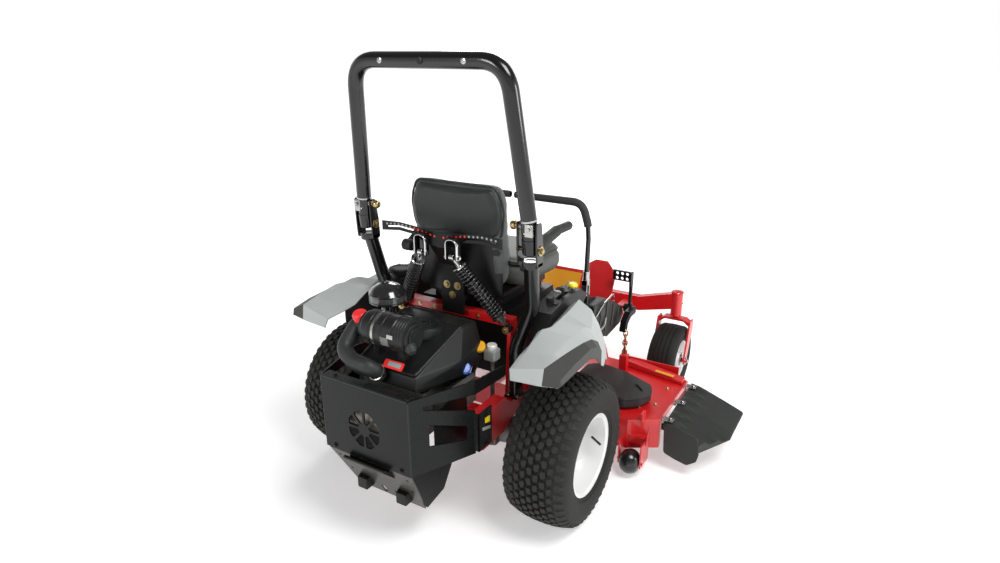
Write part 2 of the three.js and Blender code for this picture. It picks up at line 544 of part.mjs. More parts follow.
function lapBar() {
  const { x, y, parkZ } = LEVER;
  const cheek = (side) => box(-x - 13, -x + 13, y + side * 13 - 4, y + side * 13 + 4, parkZ - 12, parkZ + 62);
  const bridge = box(-x - 13, -x + 13, y - 17, y + 17, parkZ + 34, parkZ + 62);
  const bar = tube([[-x, y, parkZ + 55], [-x, y - 8, 1035], [-x, y + 4, 1105], [-x + 32, y, 1196], [-12, y, 1196]], 14,
    { bend: 70, sides: 6, steps: 17 });
  return cut(join(cheek(1), cheek(-1), bridge, bar), rod([-x, y - 30, parkZ], [-x, y + 30, parkZ], 7.5, 12));
}

// Deck lift pedal: foot plate, post, pivot boss and the curved arm that the lift chain hangs under.
function liftPedal() {
  const { x, y, z } = PEDAL;
  const foot = box(-410, -308, y - 8, y + 2, 690, 745);
  const rib = box(-418, -408, y - 8, y + 26, 676, 748);
  const post = box(-418, -404, y - 8, y + 12, z, 690);
  const boss = rod([x - 16, y, z], [x + 22, y, z], 24, 12);
  const arm = plateX([[y + 6, z + 22], [y + 90, z + 16], [y + 140, z - 18], [y + 158, z - 76], [y + 126, z - 78],
    [y + 112, z - 38], [y + 76, z - 16], [y + 8, z - 16]], x - 45, x - 12);
  return cut(join(foot, rib, post, boss, arm), rod([x - 60, y, z], [x + 60, y, z], 10.5, 12));
}

// ---- deck ----
function deckShell() {
  const { rear, front, nose, left, right, low, top, wall } = DECK;
  const outline = (inset) => [[-right + inset, front + 60 + inset], [-right + inset, -500 - inset],
    [-640, rear - inset], [640, rear - inset], [left - inset, -560], [left - inset, -860], [640, front + inset],
    [310, front + inset], [230, nose + inset], [-230, nose + inset], [-310, front + inset], [-690, front + inset]];
  const skin = cut(plateZ(outline(0), low, top), plateZ(outline(wall), low - 5, top - wall));
  const outlet = box(-right - 20, -right + 120, front + 80, -520, low - 10, top - wall - 14);
  const spindles = join(...SPINDLE.map(([x, y]) => rod([x, y, 150], [x, y, top + 14], 42, 12)));
  const drops = join(...SPINDLE.map(([x, y]) => rod([x, y, BLADE.z - 14], [x, y, 160], 12, 8)));
  const hangers = join(
    box(-470, -432, -860, -820, top - 2, 352),
    box(432, 470, -860, -820, top - 2, 352),
    box(-700, -400, front + 6, front + 14, top - 2, top + 40));
  const chain = join(
    rod([-451, -840, 350], [-451, -840, 466], 5, 6),
    ...[0, 1, 2, 3, 4].map((i) => box(-457, -445, -846, -834, 360 + 22 * i, 372 + 22 * i)));
  const bracket = (side) => join(
    box(side * ROLLER.x - 54, side * ROLLER.x - 48, rear - 36, ROLLER.y + 16, ROLLER.z - 16, 170),
    box(side * ROLLER.x + 48, side * ROLLER.x + 54, rear - 36, ROLLER.y + 16, ROLLER.z - 16, 170),
    rod([side * ROLLER.x - 60, ROLLER.y, ROLLER.z], [side * ROLLER.x + 60, ROLLER.y, ROLLER.z], 7, 8),
    box(side * ROLLER.x - 54, side * ROLLER.x + 54, rear - 36, rear - 4, 130, 170));
  const lip = box(-right, -right + 4, front + 70, -505, top - wall - 16, top + 8);
  return join(cut(skin, outlet), spindles, drops, hangers, chain, bracket(1), bracket(-1), lip);
}

function beltCover() {
  const z = DECK.top + GAP;
  const wide = plateZ([[-300, -610], [-350, -530], [-460, -490], [-590, -478], [-655, -530], [-684, -610],
    [-655, -680], [-500, -750], [-360, -775], [-300, -740]], z, 310);
  const slot = plateZ([[-640, -600], [-596, -648], [-584, -637], [-628, -589]], 296, 320);
  return cut(wide, slot, rod([...SPINDLE[2], z - 2], [...SPINDLE[2], z + 20], 46, 12));
}

function dischargeChute() {
  const { x, z } = HINGE;
  const bow = [[0, z + 6], [-70, z + 4], [-160, z - 26], [-262, z - 86], [-272, z - 96], [-268, z - 104],
    [-158, z - 36], [-70, z - 6], [0, z - 4]].map(([u, v]) => [u + x - 14, v]);
  const roof = plateY(bow, -925, -480);
  const tail = plateY([[x - 14, z + 4], [x - 70, z + 2], [x - 170, z - 30], [x - 176, 96], [x - 130, 60], [x - 24, 84]],
    -488, -480);
  const tilt = plateZ([[x - 300, -480], [x - 170, -480], [x - 300, -700]], 0, 400);
  const knuckles = join(...[-880, -700, -520].map((y) => rod([x - 2, y - 22, z], [x - 2, y + 22, z], 7, 10)));
  const web = join(...[-880, -700, -520].map((y) => box(x - 20, x - 2, y - 20, y + 20, z - 4, z + 4)));
  return join(cut(join(roof, tail), tilt), web, knuckles);
}

function blade([x, y]) {
  const { half, width, thick, z } = BLADE;
  const low = z - 16 - thick - GAP;
  const bar = box(x - half, x + half, y - width / 2, y + width / 2, low, low + thick);
  const wing = (side) => plateY([[x + side * half, low + thick], [x + side * (half - 90), low + thick],
    [x + side * (half - 70), low + thick + 16], [x + side * half, low + thick + 20]],
  side > 0 ? y + 14 : y - width / 2, side > 0 ? y + width / 2 : y - 14);
  return join(bar, wing(1), wing(-1), rod([x, y, low - 14], [x, y, low + 2], 16, 6));
}

function roller() {
  const { x, y, z, radius } = ROLLER;
  const half = [[8.5, 44], [24, 44], [41, 34], [52, 18]];
  const loop = [...half, [radius, 0], ...half.map(([r, a]) => [r, -a]).reverse()];
  return turned(loop, 'x', [-x, y, z], 18);
}

const ptoSwitch = () => join(
  rod([-400, -300, 815], [-400, -300, 876], 7, 12),
  rod([-400, -300, 874], [-400, -300, 894], 19, 18));

const throttleLever = () => join(
  rod([-400, -215, 826], [-388, -215, 826], 9, 12),
  box(-397, -391, -219, -211, 826, 884),
  rod([-406, -215, 888], [-382, -215, 888], 9, 12));

// ---- the whole mower ----
const mower = new THREE.Group();
mower.add(
  part('frame', frame(), 'red'),
  part('front_axle', frontAxle(), 'red'),
  part('engine_guard', engineGuard(), 'black'),
  part('guard_foot', guardFoot(), 'black'),
  ...pair('rops_post', ropsPost(), 'black'),
  part('rops_hoop', ropsHoop(), 'black'),
  ...pair('rops_pin', ropsPin(), 'steel'),
  ...pair('fender', fender(), 'grey'),
  part('console_r', consoleRight(), 'plastic'),
  part('fuel_tank', fuelTank(), 'plastic'),
  part('fuel_cap', fuelCap(), 'plastic'),
  part('engine_block', engineBlock(), 'cast'),
  part('engine_cover', engineCover(), 'plastic'),
  part('air_cleaner', airCleaner(), 'plastic'),
  part('precleaner', precleaner(), 'plastic'),
  part('intake_hose', intakeHose(), 'rubber'),
  part('muffler', muffler(), 'steel'),
  ...pair('transaxle', transaxle(), 'cast'),
  ...pair('tyre', tyre(), 'rubber'),
  ...pair('rim', rim(), 'white'),
  ...pair('caster_fork', casterFork(), 'red'),
  ...pair('caster_wheel', casterWheel(), 'rubber'),
  part('platform_floor', platformFloor(), 'red'),
  part('seat_tower', seatTower(), 'black'),
  part('shock_bracket', shockBracket(), 'black'),
  part('seat_pan', seatPan(), 'plastic'),
  part('seat_cushion', seatCushion(), 'vinyl'),
  part('seat_back', seatBack(), 'vinyl'),
  ...pair('armrest', armrest(), 'vinyl'),
  ...pair('shock_body', shockBody(), 'black'),
  ...pair('shock_rod', shockRod(), 'steel'),
  ...pair('shock_spring', shockSpring(), 'black'),
  ...pair('control_shaft', controlShaft(), 'black'),
  ...pair('lap_bar', lapBar(), 'black'),
  part('lift_pedal', liftPedal(), 'black'),
  part('deck_shell', deckShell(), 'red'),
  ...pair('belt_cover', beltCover(), 'plastic'),
  part('discharge_chute', dischargeChute(), 'rubber'),
  part('blade_c', blade(SPINDLE[0]), 'steel'),
  part('blade_l', blade(SPINDLE[1]), 'steel'),
  part('blade_r', blade(SPINDLE[2]), 'steel'),
  ...pair('roller', roller(), 'rubber'),
  part('pto_switch', ptoSwitch(), 'yellow'),
  part('throttle_lever', throttleLever(), 'plastic'),
);

// The origin is under the middle of the whole mower, on the ground.
const bounds = new THREE.Box3().setFromObject(mower, true);
mower.position.set(-(bounds.min.x + bounds.max.x) / 2, -(bounds.min.y + bounds.max.y) / 2, -bounds.min.z);

export default mower;
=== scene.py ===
import json
import math

import bmesh
import bpy
from mathutils import Matrix, Vector

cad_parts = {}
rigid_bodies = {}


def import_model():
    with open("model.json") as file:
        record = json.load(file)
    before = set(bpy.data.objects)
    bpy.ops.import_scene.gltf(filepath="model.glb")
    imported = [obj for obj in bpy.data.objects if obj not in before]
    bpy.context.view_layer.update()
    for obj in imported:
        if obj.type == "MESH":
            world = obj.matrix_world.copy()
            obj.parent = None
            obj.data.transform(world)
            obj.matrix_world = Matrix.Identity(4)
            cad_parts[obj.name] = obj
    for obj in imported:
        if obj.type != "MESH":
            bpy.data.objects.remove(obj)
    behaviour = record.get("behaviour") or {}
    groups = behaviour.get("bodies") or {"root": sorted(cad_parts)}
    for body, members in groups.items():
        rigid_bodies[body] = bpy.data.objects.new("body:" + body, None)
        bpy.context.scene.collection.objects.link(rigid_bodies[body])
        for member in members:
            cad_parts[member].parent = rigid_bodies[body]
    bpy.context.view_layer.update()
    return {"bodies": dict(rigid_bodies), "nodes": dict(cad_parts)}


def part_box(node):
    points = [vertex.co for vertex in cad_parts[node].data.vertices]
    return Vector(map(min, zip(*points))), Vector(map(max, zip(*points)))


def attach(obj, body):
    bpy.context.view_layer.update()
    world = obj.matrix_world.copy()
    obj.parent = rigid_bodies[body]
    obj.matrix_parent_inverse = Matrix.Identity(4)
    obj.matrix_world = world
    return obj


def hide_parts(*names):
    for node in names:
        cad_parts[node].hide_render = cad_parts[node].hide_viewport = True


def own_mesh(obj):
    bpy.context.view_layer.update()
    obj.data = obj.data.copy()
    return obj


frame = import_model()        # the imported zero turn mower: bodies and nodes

# Shapes are drawn in millimetres in the mower's own frame: x to the driver's left of the middle line,
# y behind the rear axle line, z above the ground. PLACE turns them into the row frame, in metres.
GUARD_REAR = 0.572
MIDDLE = (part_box("engine_guard")[0].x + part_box("engine_guard")[1].x) / 2
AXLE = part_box("engine_guard")[1].y - GUARD_REAR
PLACE = Matrix.Translation((MIDDLE, AXLE, 0)) @ Matrix.Scale(0.001, 4)

X, Y, Z = Vector((1, 0, 0)), Vector((0, 1, 0)), Vector((0, 0, 1))
WHEEL = Vector((-529, 0, 305))
CASTER = Vector((-560, -1263, 190.5))
SHOCK_LOW = Vector((-266, 4, 766))
SHOCK_TOP = Vector((-76, 110, 1062))
KINGPIN_Y = -1323
ROLL_BAR_PIVOT = (63, 1130)
LOCK_PIN = (72, 1217)
BLOWER = Vector((0, 210, 0))
CANISTER = Vector((0, 405, 846))
PRECLEANER = Vector((150, 240, 0))
CHUTE_HINGE = (-772, 238)
COVER_LABEL_LIE = Matrix.Translation((-52, 456, 742)) @ Matrix.Rotation(math.radians(46), 4, "X")
FOOT_REST_LIE = Matrix.Translation((0, -957, 496)) @ Matrix.Rotation(math.radians(116), 4, "X")
CAMERA_EYE = Vector((-1511.8, 2088.7, 1813.7))
SPINDLES = [Vector((0, -855, 0)), Vector((495, -690, 0)), Vector((-495, -690, 0))]


# ---- materials ----
def wired(tree, node, inputs):
    """Sets a node's inputs, or links them where the value is another node's output."""
    for name, value in inputs.items():
        if isinstance(value, bpy.types.NodeSocket):
            tree.links.new(value, node.inputs[name])
        else:
            node.inputs[name].default_value = value
    return node


def adder(tree):
    """Gives the function that adds a node to this tree and returns one of its outputs."""
    def add(kind, output, inputs, operation=None):
        node = tree.nodes.new(kind)
        if kind == "ShaderNodeMix":
            node.data_type = "RGBA"
        if kind == "ShaderNodeTexVoronoi":
            node.feature = "DISTANCE_TO_EDGE"
        if operation:
            node.operation = operation
        return wired(tree, node, inputs).outputs[output]
    return add


def surface(name, colour, rough=0.5, metallic=0.0, coat=0.0, tint=0.12, patch=14.0, grain="noise", scale=1400.0,
            bump=0.12, spread=0.08, sheen=0.0, shine=0.5, wear=None):
    """A procedural finish: uneven colour and roughness, a fine grain, and paler rubbed edges if wear is given."""
    material = bpy.data.materials.new(name)
    material.use_nodes = True
    tree = material.node_tree
    add = adder(tree)
    where = add("ShaderNodeTexCoord", "Object", {})

    def noise(size, detail):
        return add("ShaderNodeTexNoise", "Fac", {"Scale": size, "Detail": detail, "Vector": where})

    base = add("ShaderNodeMix", "Result", {
        "A": (*[c * (1 - tint) for c in colour], 1),
        "B": (*[min(1, c * (1 + tint)) for c in colour], 1),
        "Factor": noise(patch, 5)})
    if wear:
        edge = add("ShaderNodeNewGeometry", "Pointiness", {})
        rubbed = add("ShaderNodeMapRange", "Result", {
            "From Min": 0.53, "From Max": 0.62, "To Max": 0.7, "Value": edge})
        base = add("ShaderNodeMix", "Result", {"A": base, "B": (*wear, 1), "Factor": rubbed})
    uneven = add("ShaderNodeMapRange", "Result", {
        "To Min": max(0.03, rough - spread), "To Max": min(1, rough + spread), "Value": noise(patch * 7, 3)})
    if grain == "hide":
        height = add("ShaderNodeTexVoronoi", "Distance", {"Scale": scale, "Vector": where})
    elif grain == "brushed":
        stretched = add("ShaderNodeMapping", "Vector", {"Scale": (1, 1, 14), "Vector": where})
        height = add("ShaderNodeTexNoise", "Fac", {"Scale": scale, "Vector": stretched})
    else:
        height = noise(scale, 2)
    relief = add("ShaderNodeBump", "Normal", {"Strength": bump, "Distance": 1 / scale, "Height": height})
    wired(tree, tree.nodes["Principled BSDF"], {
        "Metallic": metallic, "Coat Weight": coat, "Coat Roughness": 0.08, "Sheen Weight": sheen,
        "Specular IOR Level": shine, "Base Color": base, "Roughness": uneven, "Normal": relief})
    return material


RED = surface("red_paint", (0.62, 0.009, 0.012), rough=0.32, coat=0.6, tint=0.1, scale=500, bump=0.05,
              wear=(0.72, 0.05, 0.05), shine=0.45)
BLACK_SATIN = surface("black_powder_coat", (0.005, 0.0055, 0.0055), rough=0.3, coat=0.05, tint=0.2, scale=900,
                      bump=0.1, wear=(0.03, 0.032, 0.032), shine=0.18)
BLACK_GLOSS = surface("black_gloss_paint", (0.004, 0.0042, 0.0042), rough=0.2, coat=0.3, tint=0.15, scale=400,
                      bump=0.03, shine=0.4)
BLACK_PLATE = surface("black_bracket_paint", (0.005, 0.005, 0.005), rough=0.42, tint=0.2, scale=900, bump=0.1,
                      shine=0.3)
ZINC = surface("yellow_zinc", (0.46, 0.35, 0.17), rough=0.28, metallic=1, tint=0.25, patch=60, grain="brushed",
               bump=0.1)
STEEL = surface("bright_steel", (0.42, 0.42, 0.41), rough=0.24, metallic=1, tint=0.12, patch=50, grain="brushed",
                bump=0.1)
CHROME = surface("chrome", (0.6, 0.6, 0.6), rough=0.08, metallic=1, tint=0.05, spread=0.03, bump=0.02)
FENDER_PALE = surface("fender_pale_grey", (0.40, 0.425, 0.415), rough=0.5, tint=0.05, scale=2200, bump=0.25,
                      shine=0.4)
FENDER_DARK = surface("fender_dark_grey", (0.042, 0.043, 0.040), rough=0.55, tint=0.1, scale=2200, bump=0.3,
                      shine=0.4)
CONSOLE = surface("console_plastic", (0.010, 0.010, 0.0095), rough=0.5, tint=0.2, scale=2200, bump=0.3, shine=0.35)
POD = surface("pod_plastic", (0.032, 0.033, 0.027), rough=0.48, tint=0.25, patch=22, scale=1800, bump=0.25,
              shine=0.35)
ENGINE_PLASTIC = surface("engine_plastic", (0.009, 0.0095, 0.0095), rough=0.36, tint=0.2, scale=2000, bump=0.3,
                         shine=0.35)
ENGINE_CAST = surface("engine_casting", (0.16, 0.16, 0.15), rough=0.5, metallic=0.8, tint=0.3, patch=40, scale=700,
                      bump=0.5)
DOME_GLOSS = surface("dome_gloss", (0.014, 0.014, 0.014), rough=0.14, coat=0.7, tint=0.1, scale=500, bump=0.03)
# The band is the lid's dark gloss painted paler: a painted highlight standing in for the bright reflections on it.
DOME_BAND_PAINTED_HIGHLIGHT = surface("dome_band_painted_highlight", (0.05, 0.055, 0.055), rough=0.12, coat=0.8, tint=0.3, patch=30, bump=0.02)
HOSE = surface("hose_rubber", (0.022, 0.024, 0.024), rough=0.5, tint=0.12, scale=1500, bump=0.2, shine=0.35)
MUFFLER = surface("muffler_steel", (0.22, 0.20, 0.18), rough=0.5, metallic=0.9, tint=0.35, patch=20, scale=800,
                  bump=0.2)
TYRE = surface("tyre_rubber", (0.013, 0.013, 0.0115), rough=0.72, tint=0.25, patch=9, scale=1100, bump=0.35,
               wear=(0.030, 0.029, 0.026), shine=0.3)
WHITE = surface("white_rim_paint", (0.72, 0.72, 0.71), rough=0.3, coat=0.4, tint=0.03, scale=500, bump=0.04,
                shine=0.4)
VINYL_DARK = surface("seat_vinyl_dark", (0.017, 0.021, 0.020), rough=0.46, tint=0.12, grain="hide", scale=900,
                     bump=0.3, sheen=0.05, shine=0.4)
VINYL_PALE = surface("seat_vinyl_pale", (0.065, 0.072, 0.068), rough=0.55, tint=0.08, grain="hide", scale=900,
                     bump=0.3, sheen=0.05, shine=0.4)
CUSHION = surface("seat_cushion_vinyl", (0.085, 0.09, 0.082), rough=0.5, tint=0.1, grain="hide", scale=900, bump=0.3,
                  sheen=0.05, shine=0.4)
PIPING = surface("seat_piping", (0.010, 0.010, 0.010), rough=0.4, tint=0.1, scale=2000, bump=0.2)
SEAT_SHELL = surface("seat_shell", (0.0045, 0.0045, 0.0045), rough=0.38, tint=0.15, scale=1600, bump=0.3, shine=0.35)
FOAM = surface("foam_grip", (0.022, 0.0225, 0.0225), rough=0.7, tint=0.12, scale=2600, bump=0.45, sheen=0.1,
               shine=0.35)
ARMREST = surface("armrest_pad", (0.024, 0.026, 0.024), rough=0.55, tint=0.1, scale=1800, bump=0.3, shine=0.35)
SPRING = surface("spring_enamel", (0.008, 0.008, 0.008), rough=0.22, coat=0.5, tint=0.15, scale=600, bump=0.05)
CHUTE = surface("chute_rubber", (0.022, 0.024, 0.022), rough=0.5, tint=0.15, patch=11, scale=1300, bump=0.35,
                shine=0.35)
ROLLER = surface("roller_rubber", (0.012, 0.013, 0.014), rough=0.25, coat=0.2, tint=0.2, scale=900, bump=0.1)
BLADE_STEEL = surface("blade_steel", (0.2, 0.2, 0.2), rough=0.4, metallic=1, tint=0.25, patch=30, grain="brushed",
                      bump=0.2)
BRONZE = surface("bronze_sheen", (0.050, 0.047, 0.036), rough=0.35, metallic=0.5, coat=0.05, tint=0.3, patch=8,
                 scale=900, bump=0.12)
YELLOW = surface("yellow_plastic", (0.85, 0.62, 0.01), rough=0.35, tint=0.08, scale=1500, bump=0.1)
AMBER = surface("amber_plastic", (0.84, 0.42, 0.01), rough=0.35, tint=0.08, scale=1500, bump=0.1)
ORANGE = surface("orange_panel", (0.80, 0.36, 0.02), rough=0.35, tint=0.08, scale=900, bump=0.05)
BLUE = surface("blue_plastic", (0.02, 0.12, 0.55), rough=0.3, tint=0.1, scale=1500, bump=0.1)
RED_PLASTIC = surface("red_plastic", (0.80, 0.02, 0.02), rough=0.38, tint=0.08, scale=1500, bump=0.1)
PALE_PLASTIC = surface("pale_plastic", (0.30, 0.31, 0.30), rough=0.4, tint=0.08, scale=1500, bump=0.1)


# ---- mesh tools: each returns a bmesh in millimetres ----
def rounded(points, radius, closed=False, steps=6):
    """A polyline with its corners rounded; a point may be (place, own radius)."""
    own = [p if isinstance(p[0], (tuple, list, Vector)) else (p, radius) for p in points]
    at = [Vector(p) for p, _ in own]
    count = len(at)
    line = []
    for i, (corner, (_, bend)) in enumerate(zip(at, own)):
        if not closed and i in (0, count - 1):
            line.append(corner)
            continue
        back, on = at[i - 1] - corner, at[(i + 1) % count] - corner
        half = back.angle(on) / 2
        if bend <= 0 or half > math.radians(89.5):
            line.append(corner)
            continue
        reach = min(bend / math.tan(half), 0.48 * back.length, 0.48 * on.length)
        start, end = corner + back.normalized() * reach, corner + on.normalized() * reach
        for k in range(steps + 1):
            t = k / steps
            line.append(start * (1 - t) ** 2 + corner * (2 * t * (1 - t)) + end * t ** 2)
    return line


def bevelled(bm, width, angle=25, segments=2):
    """Rounds the sharp edges of a mesh."""
    if width > 0:
        sharp = [e for e in bm.edges if len(e.link_faces) == 2 and e.calc_face_angle(0) > math.radians(angle)]
        bmesh.ops.bevel(bm, geom=sharp, offset=width, segments=segments, profile=0.5, affect="EDGES",
                        clamp_overlap=True, material=-1)
    return bm


def box(x0, x1, y0, y1, z0, z1, edge=1.5):
    bm = bmesh.new()
    size = Matrix.Diagonal((x1 - x0, y1 - y0, z1 - z0, 1))
    bmesh.ops.create_cube(bm, size=1, matrix=Matrix.Translation(((x0 + x1) / 2, (y0 + y1) / 2, (z0 + z1) / 2)) @ size)
    return bevelled(bm, edge)


def rings(rows, closed_rows, cap=True):
    """A skin over rows of points; closed_rows joins the last row to the first."""
    bm = bmesh.new()
    made = [[bm.verts.new(p) for p in row] for row in rows]
    pairs = list(zip(made, made[1:])) + ([(made[-1], made[0])] if closed_rows else [])
    for a, b in pairs:
        for i in range(len(a)):
            j = (i + 1) % len(a)
            bm.faces.new((a[i], a[j], b[j], b[i]))
    if cap and not closed_rows:
        bm.faces.new(list(reversed(made[0])))
        bm.faces.new(made[-1])
    bmesh.ops.remove_doubles(bm, verts=bm.verts, dist=1e-3)
    bmesh.ops.recalc_face_normals(bm, faces=bm.faces)
    return bm


def across(axis):
    """Two directions square to an axis and to each other."""
    axis = axis.normalized()
    first = axis.cross(Z if abs(axis.z) < 0.9 else X).normalized()
    return first, axis.cross(first)


def both_ways(half):
    """A turned profile followed by its mirror image."""
    return half + [(r, -a) for r, a in reversed(half)]


def circle(u, v, radius, count):
    return [(u + radius * math.cos(2 * math.pi * k / count), v + radius * math.sin(2 * math.pi * k / count))
            for k in range(count)]


def turned(profile, centre, axis, sides=48):
    """A profile of (radius, along) points turned about an axis; it closes on itself or on the axis."""
    u, v = across(axis)
    way = axis.normalized()
    rows = []
    for r, a in profile:
        ring = []
        for i in range(sides):
            turn = 2 * math.pi * i / sides
            ring.append(centre + way * a + (u * math.cos(turn) + v * math.sin(turn)) * max(r, 1e-4))
        rows.append(ring)
    on_axis = profile[0][0] == 0 and profile[-1][0] == 0
    return rings(rows, closed_rows=not on_axis, cap=False)


def rod(start, end, radius, end_radius=None, sides=28, edge=1.0):
    start, end = Vector(start), Vector(end)
    long = (end - start).length
    last = radius if end_radius is None else end_radius
    edge = min(edge, radius * 0.4, last * 0.4, long * 0.4)
    profile = [(0, 0), (radius - edge, 0), (radius, edge), (last, long - edge), (last - edge, long), (0, long)]
    return turned(profile, start, end - start, sides)


def swept(path, radius, sides=20, closed=False, flat=1.0, up=None):
    """A round or oval tube along a path; radius is one number or one for each point."""
    path = [Vector(p) for p in path]
    count = len(path)
    radii = radius if isinstance(radius, (list, tuple)) else [radius] * count
    rows = []
    side = None
    for i, point in enumerate(path):
        before = path[i - 1] if closed or i else path[0]
        after = path[(i + 1) % count] if closed or i < count - 1 else path[-1]
        way = (after - before).normalized()
        if side is None or up is not None:
            side = way.cross(up).normalized() if up is not None else across(way)[0]
        side = (side - way * side.dot(way)).normalized()
        rise = way.cross(side)
        ring = []
        for k in range(sides):
            turn = 2 * math.pi * k / sides
            ring.append(point + (side * math.cos(turn) + rise * math.sin(turn) * flat) * radii[i])
        rows.append(ring)
    return rings(rows, closed_rows=closed)


def plate(outline, axis, low, high, edge=1.0, holes=()):
    """A flat outline given across an axis: (y, z) along X, (x, z) along Y or (x, y) along Z."""
    curve = bpy.data.curves.new("outline", "CURVE")
    curve.dimensions = "2D"
    curve.fill_mode = "BOTH"
    for loop in (outline, *holes):
        spline = curve.splines.new("POLY")
        spline.points.add(len(loop) - 1)
        for point, (u, v) in zip(spline.points, loop):
            point.co = (u, v, 0, 1)
        spline.use_cyclic_u = True
    edge = min(edge, (high - low) * 0.45)
    curve.extrude = (high - low) / 2 - edge
    curve.bevel_depth = edge
    curve.bevel_resolution = 1
    curve.offset = -edge
    holder = bpy.data.objects.new("outline", curve)
    mesh = bpy.data.meshes.new_from_object(holder)
    bm = bmesh.new()
    bm.from_mesh(mesh)
    bpy.data.objects.remove(holder)
    bpy.data.curves.remove(curve)
    bpy.data.meshes.remove(mesh)
    bmesh.ops.remove_doubles(bm, verts=bm.verts, dist=1e-3)
    bmesh.ops.dissolve_limit(bm, angle_limit=math.radians(0.5), verts=bm.verts, edges=bm.edges)
    middle = (low + high) / 2
    turn = {
        "x": Matrix(((0, 0, 1, middle), (1, 0, 0, 0), (0, 1, 0, 0), (0, 0, 0, 1))),
        "y": Matrix(((1, 0, 0, 0), (0, 0, 1, middle), (0, 1, 0, 0), (0, 0, 0, 1))),
        "z": Matrix.Translation((0, 0, middle)),
    }[axis]
    bm.transform(turn)
    bmesh.ops.recalc_face_normals(bm, faces=bm.faces)
    return bm


def hull(points, edge=2.0, segments=2):
    bm = bmesh.new()
    for p in points:
        bm.verts.new(p)
    made = bmesh.ops.convex_hull(bm, input=bm.verts)
    loose = [g for g in made["geom_interior"] + made["geom_unused"] if isinstance(g, bmesh.types.BMVert)]
    bmesh.ops.delete(bm, geom=loose, context="VERTS")
    bmesh.ops.dissolve_limit(bm, angle_limit=math.radians(2), verts=bm.verts, edges=bm.edges)
    return bevelled(bm, edge, angle=8, segments=segments)


def ball(centre, radii, sides=24):
    bm = bmesh.new()
    size = Matrix.Diagonal((*radii, 1))
    bmesh.ops.create_uvsphere(bm, u_segments=sides, v_segments=sides // 2, radius=1,
                              matrix=Matrix.Translation(centre) @ size)
    return bm


def joined(*parts):
    """Several bmeshes as one."""
    whole = bmesh.new()
    for part in parts:
        mesh = bpy.data.meshes.new("part")
        part.to_mesh(mesh)
        part.free()
        whole.from_mesh(mesh)
        bpy.data.meshes.remove(mesh)
    return whole


def painted(bm, index):
    """Gives every face of a part its place in the piece's list of materials."""
    for face in bm.faces:
        face.material_index = index
    return bm


def mirror(bm):
    bm.transform(Matrix.Diagonal((-1, 1, 1, 1)))
    bmesh.ops.reverse_faces(bm, faces=bm.faces)
    return bm


def bolt(centre, way, size=8.0, washer=1.7):
    """A washer and a chamfered hexagon head, standing on a face."""
    centre, way = Vector(centre), Vector(way).normalized()
    r = size * washer
    ring = turned([(0, 0), (r, 0), (r, size * 0.18), (r - 0.4, size * 0.24), (0, size * 0.24)], centre, way, 20)
    base = size * 0.24
    head = turned([(0, base), (size * 0.98, base), (size, base + size * 0.1), (size, base + size * 0.66),
                   (size * 0.86, base + size * 0.8), (0, base + size * 0.8)], centre, way, 6)
    return joined(ring, head)


def bolts(centres, way, size=8.0):
    return joined(*[bolt(c, way, size) for c in centres])


def taken(node, edge, angle=28):
    """A copy of a CAD node's shape in millimetres, with its edges rounded."""
    bm = bmesh.new()
    bm.from_mesh(frame["nodes"][node].data)
    bm.transform(PLACE.inverted())
    bmesh.ops.remove_doubles(bm, verts=bm.verts, dist=0.02)
    bmesh.ops.dissolve_limit(bm, angle_limit=math.radians(1), verts=bm.verts, edges=bm.edges)
    return bevelled(bm, edge, angle)


def linked(name, data):
    """Puts data in the scene as an object."""
    obj = bpy.data.objects.new(name, data)
    bpy.context.scene.collection.objects.link(obj)
    return obj


def piece(name, bm, materials, body, replaces=(), sharp=32):
    """Makes the bmesh an object of the mower that moves with a CAD body."""
    bm.transform(PLACE)
    mesh = bpy.data.meshes.new(name)
    bm.to_mesh(mesh)
    bm.free()
    for material in materials if isinstance(materials, (list, tuple)) else [materials]:
        mesh.materials.append(material)
    mesh.polygons.foreach_set("use_smooth", [True] * len(mesh.polygons))
    mesh.set_sharp_from_angle(angle=math.radians(sharp))
    obj = linked(name, mesh)
    flat = obj.modifiers.new("flat_faces", "WEIGHTED_NORMAL")
    flat.keep_sharp = True
    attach(obj, body)
    if replaces:
        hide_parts(*replaces)
    return obj


def pair(name, build, materials, body, replaces=(), sharp=32):
    """A piece on the driver's right and its mirror image on the left; body and replaces end in _r or _l."""
    made = []
    for side in "rl":
        bm = build()
        bm = mirror(bm) if side == "l" else bm
        ride_on = body if body in frame["bodies"] else f"{body}_{side}"
        nodes = [f"{n}_{side}" for n in replaces]
        made.append(piece(f"{name}_{side}", bm, materials, ride_on, nodes, sharp))
    return made


# ---- wheels ----
def tyre_carcass():
    outer = [(157, 112), (168, 115), (174, 123), (182, 124), (186, 129), (205, 133), (232, 135), (254, 132.5),
             (272, 126), (283, 117), (290, 100), (292, 60)]
    inner = [(284, 60), (276, 112), (232, 124), (184, 112), (157, 100)]
    loop = both_ways(outer) + [(r, -a) for r, a in inner] + inner[::-1]
    return turned(loop, WHEEL, X, 96)


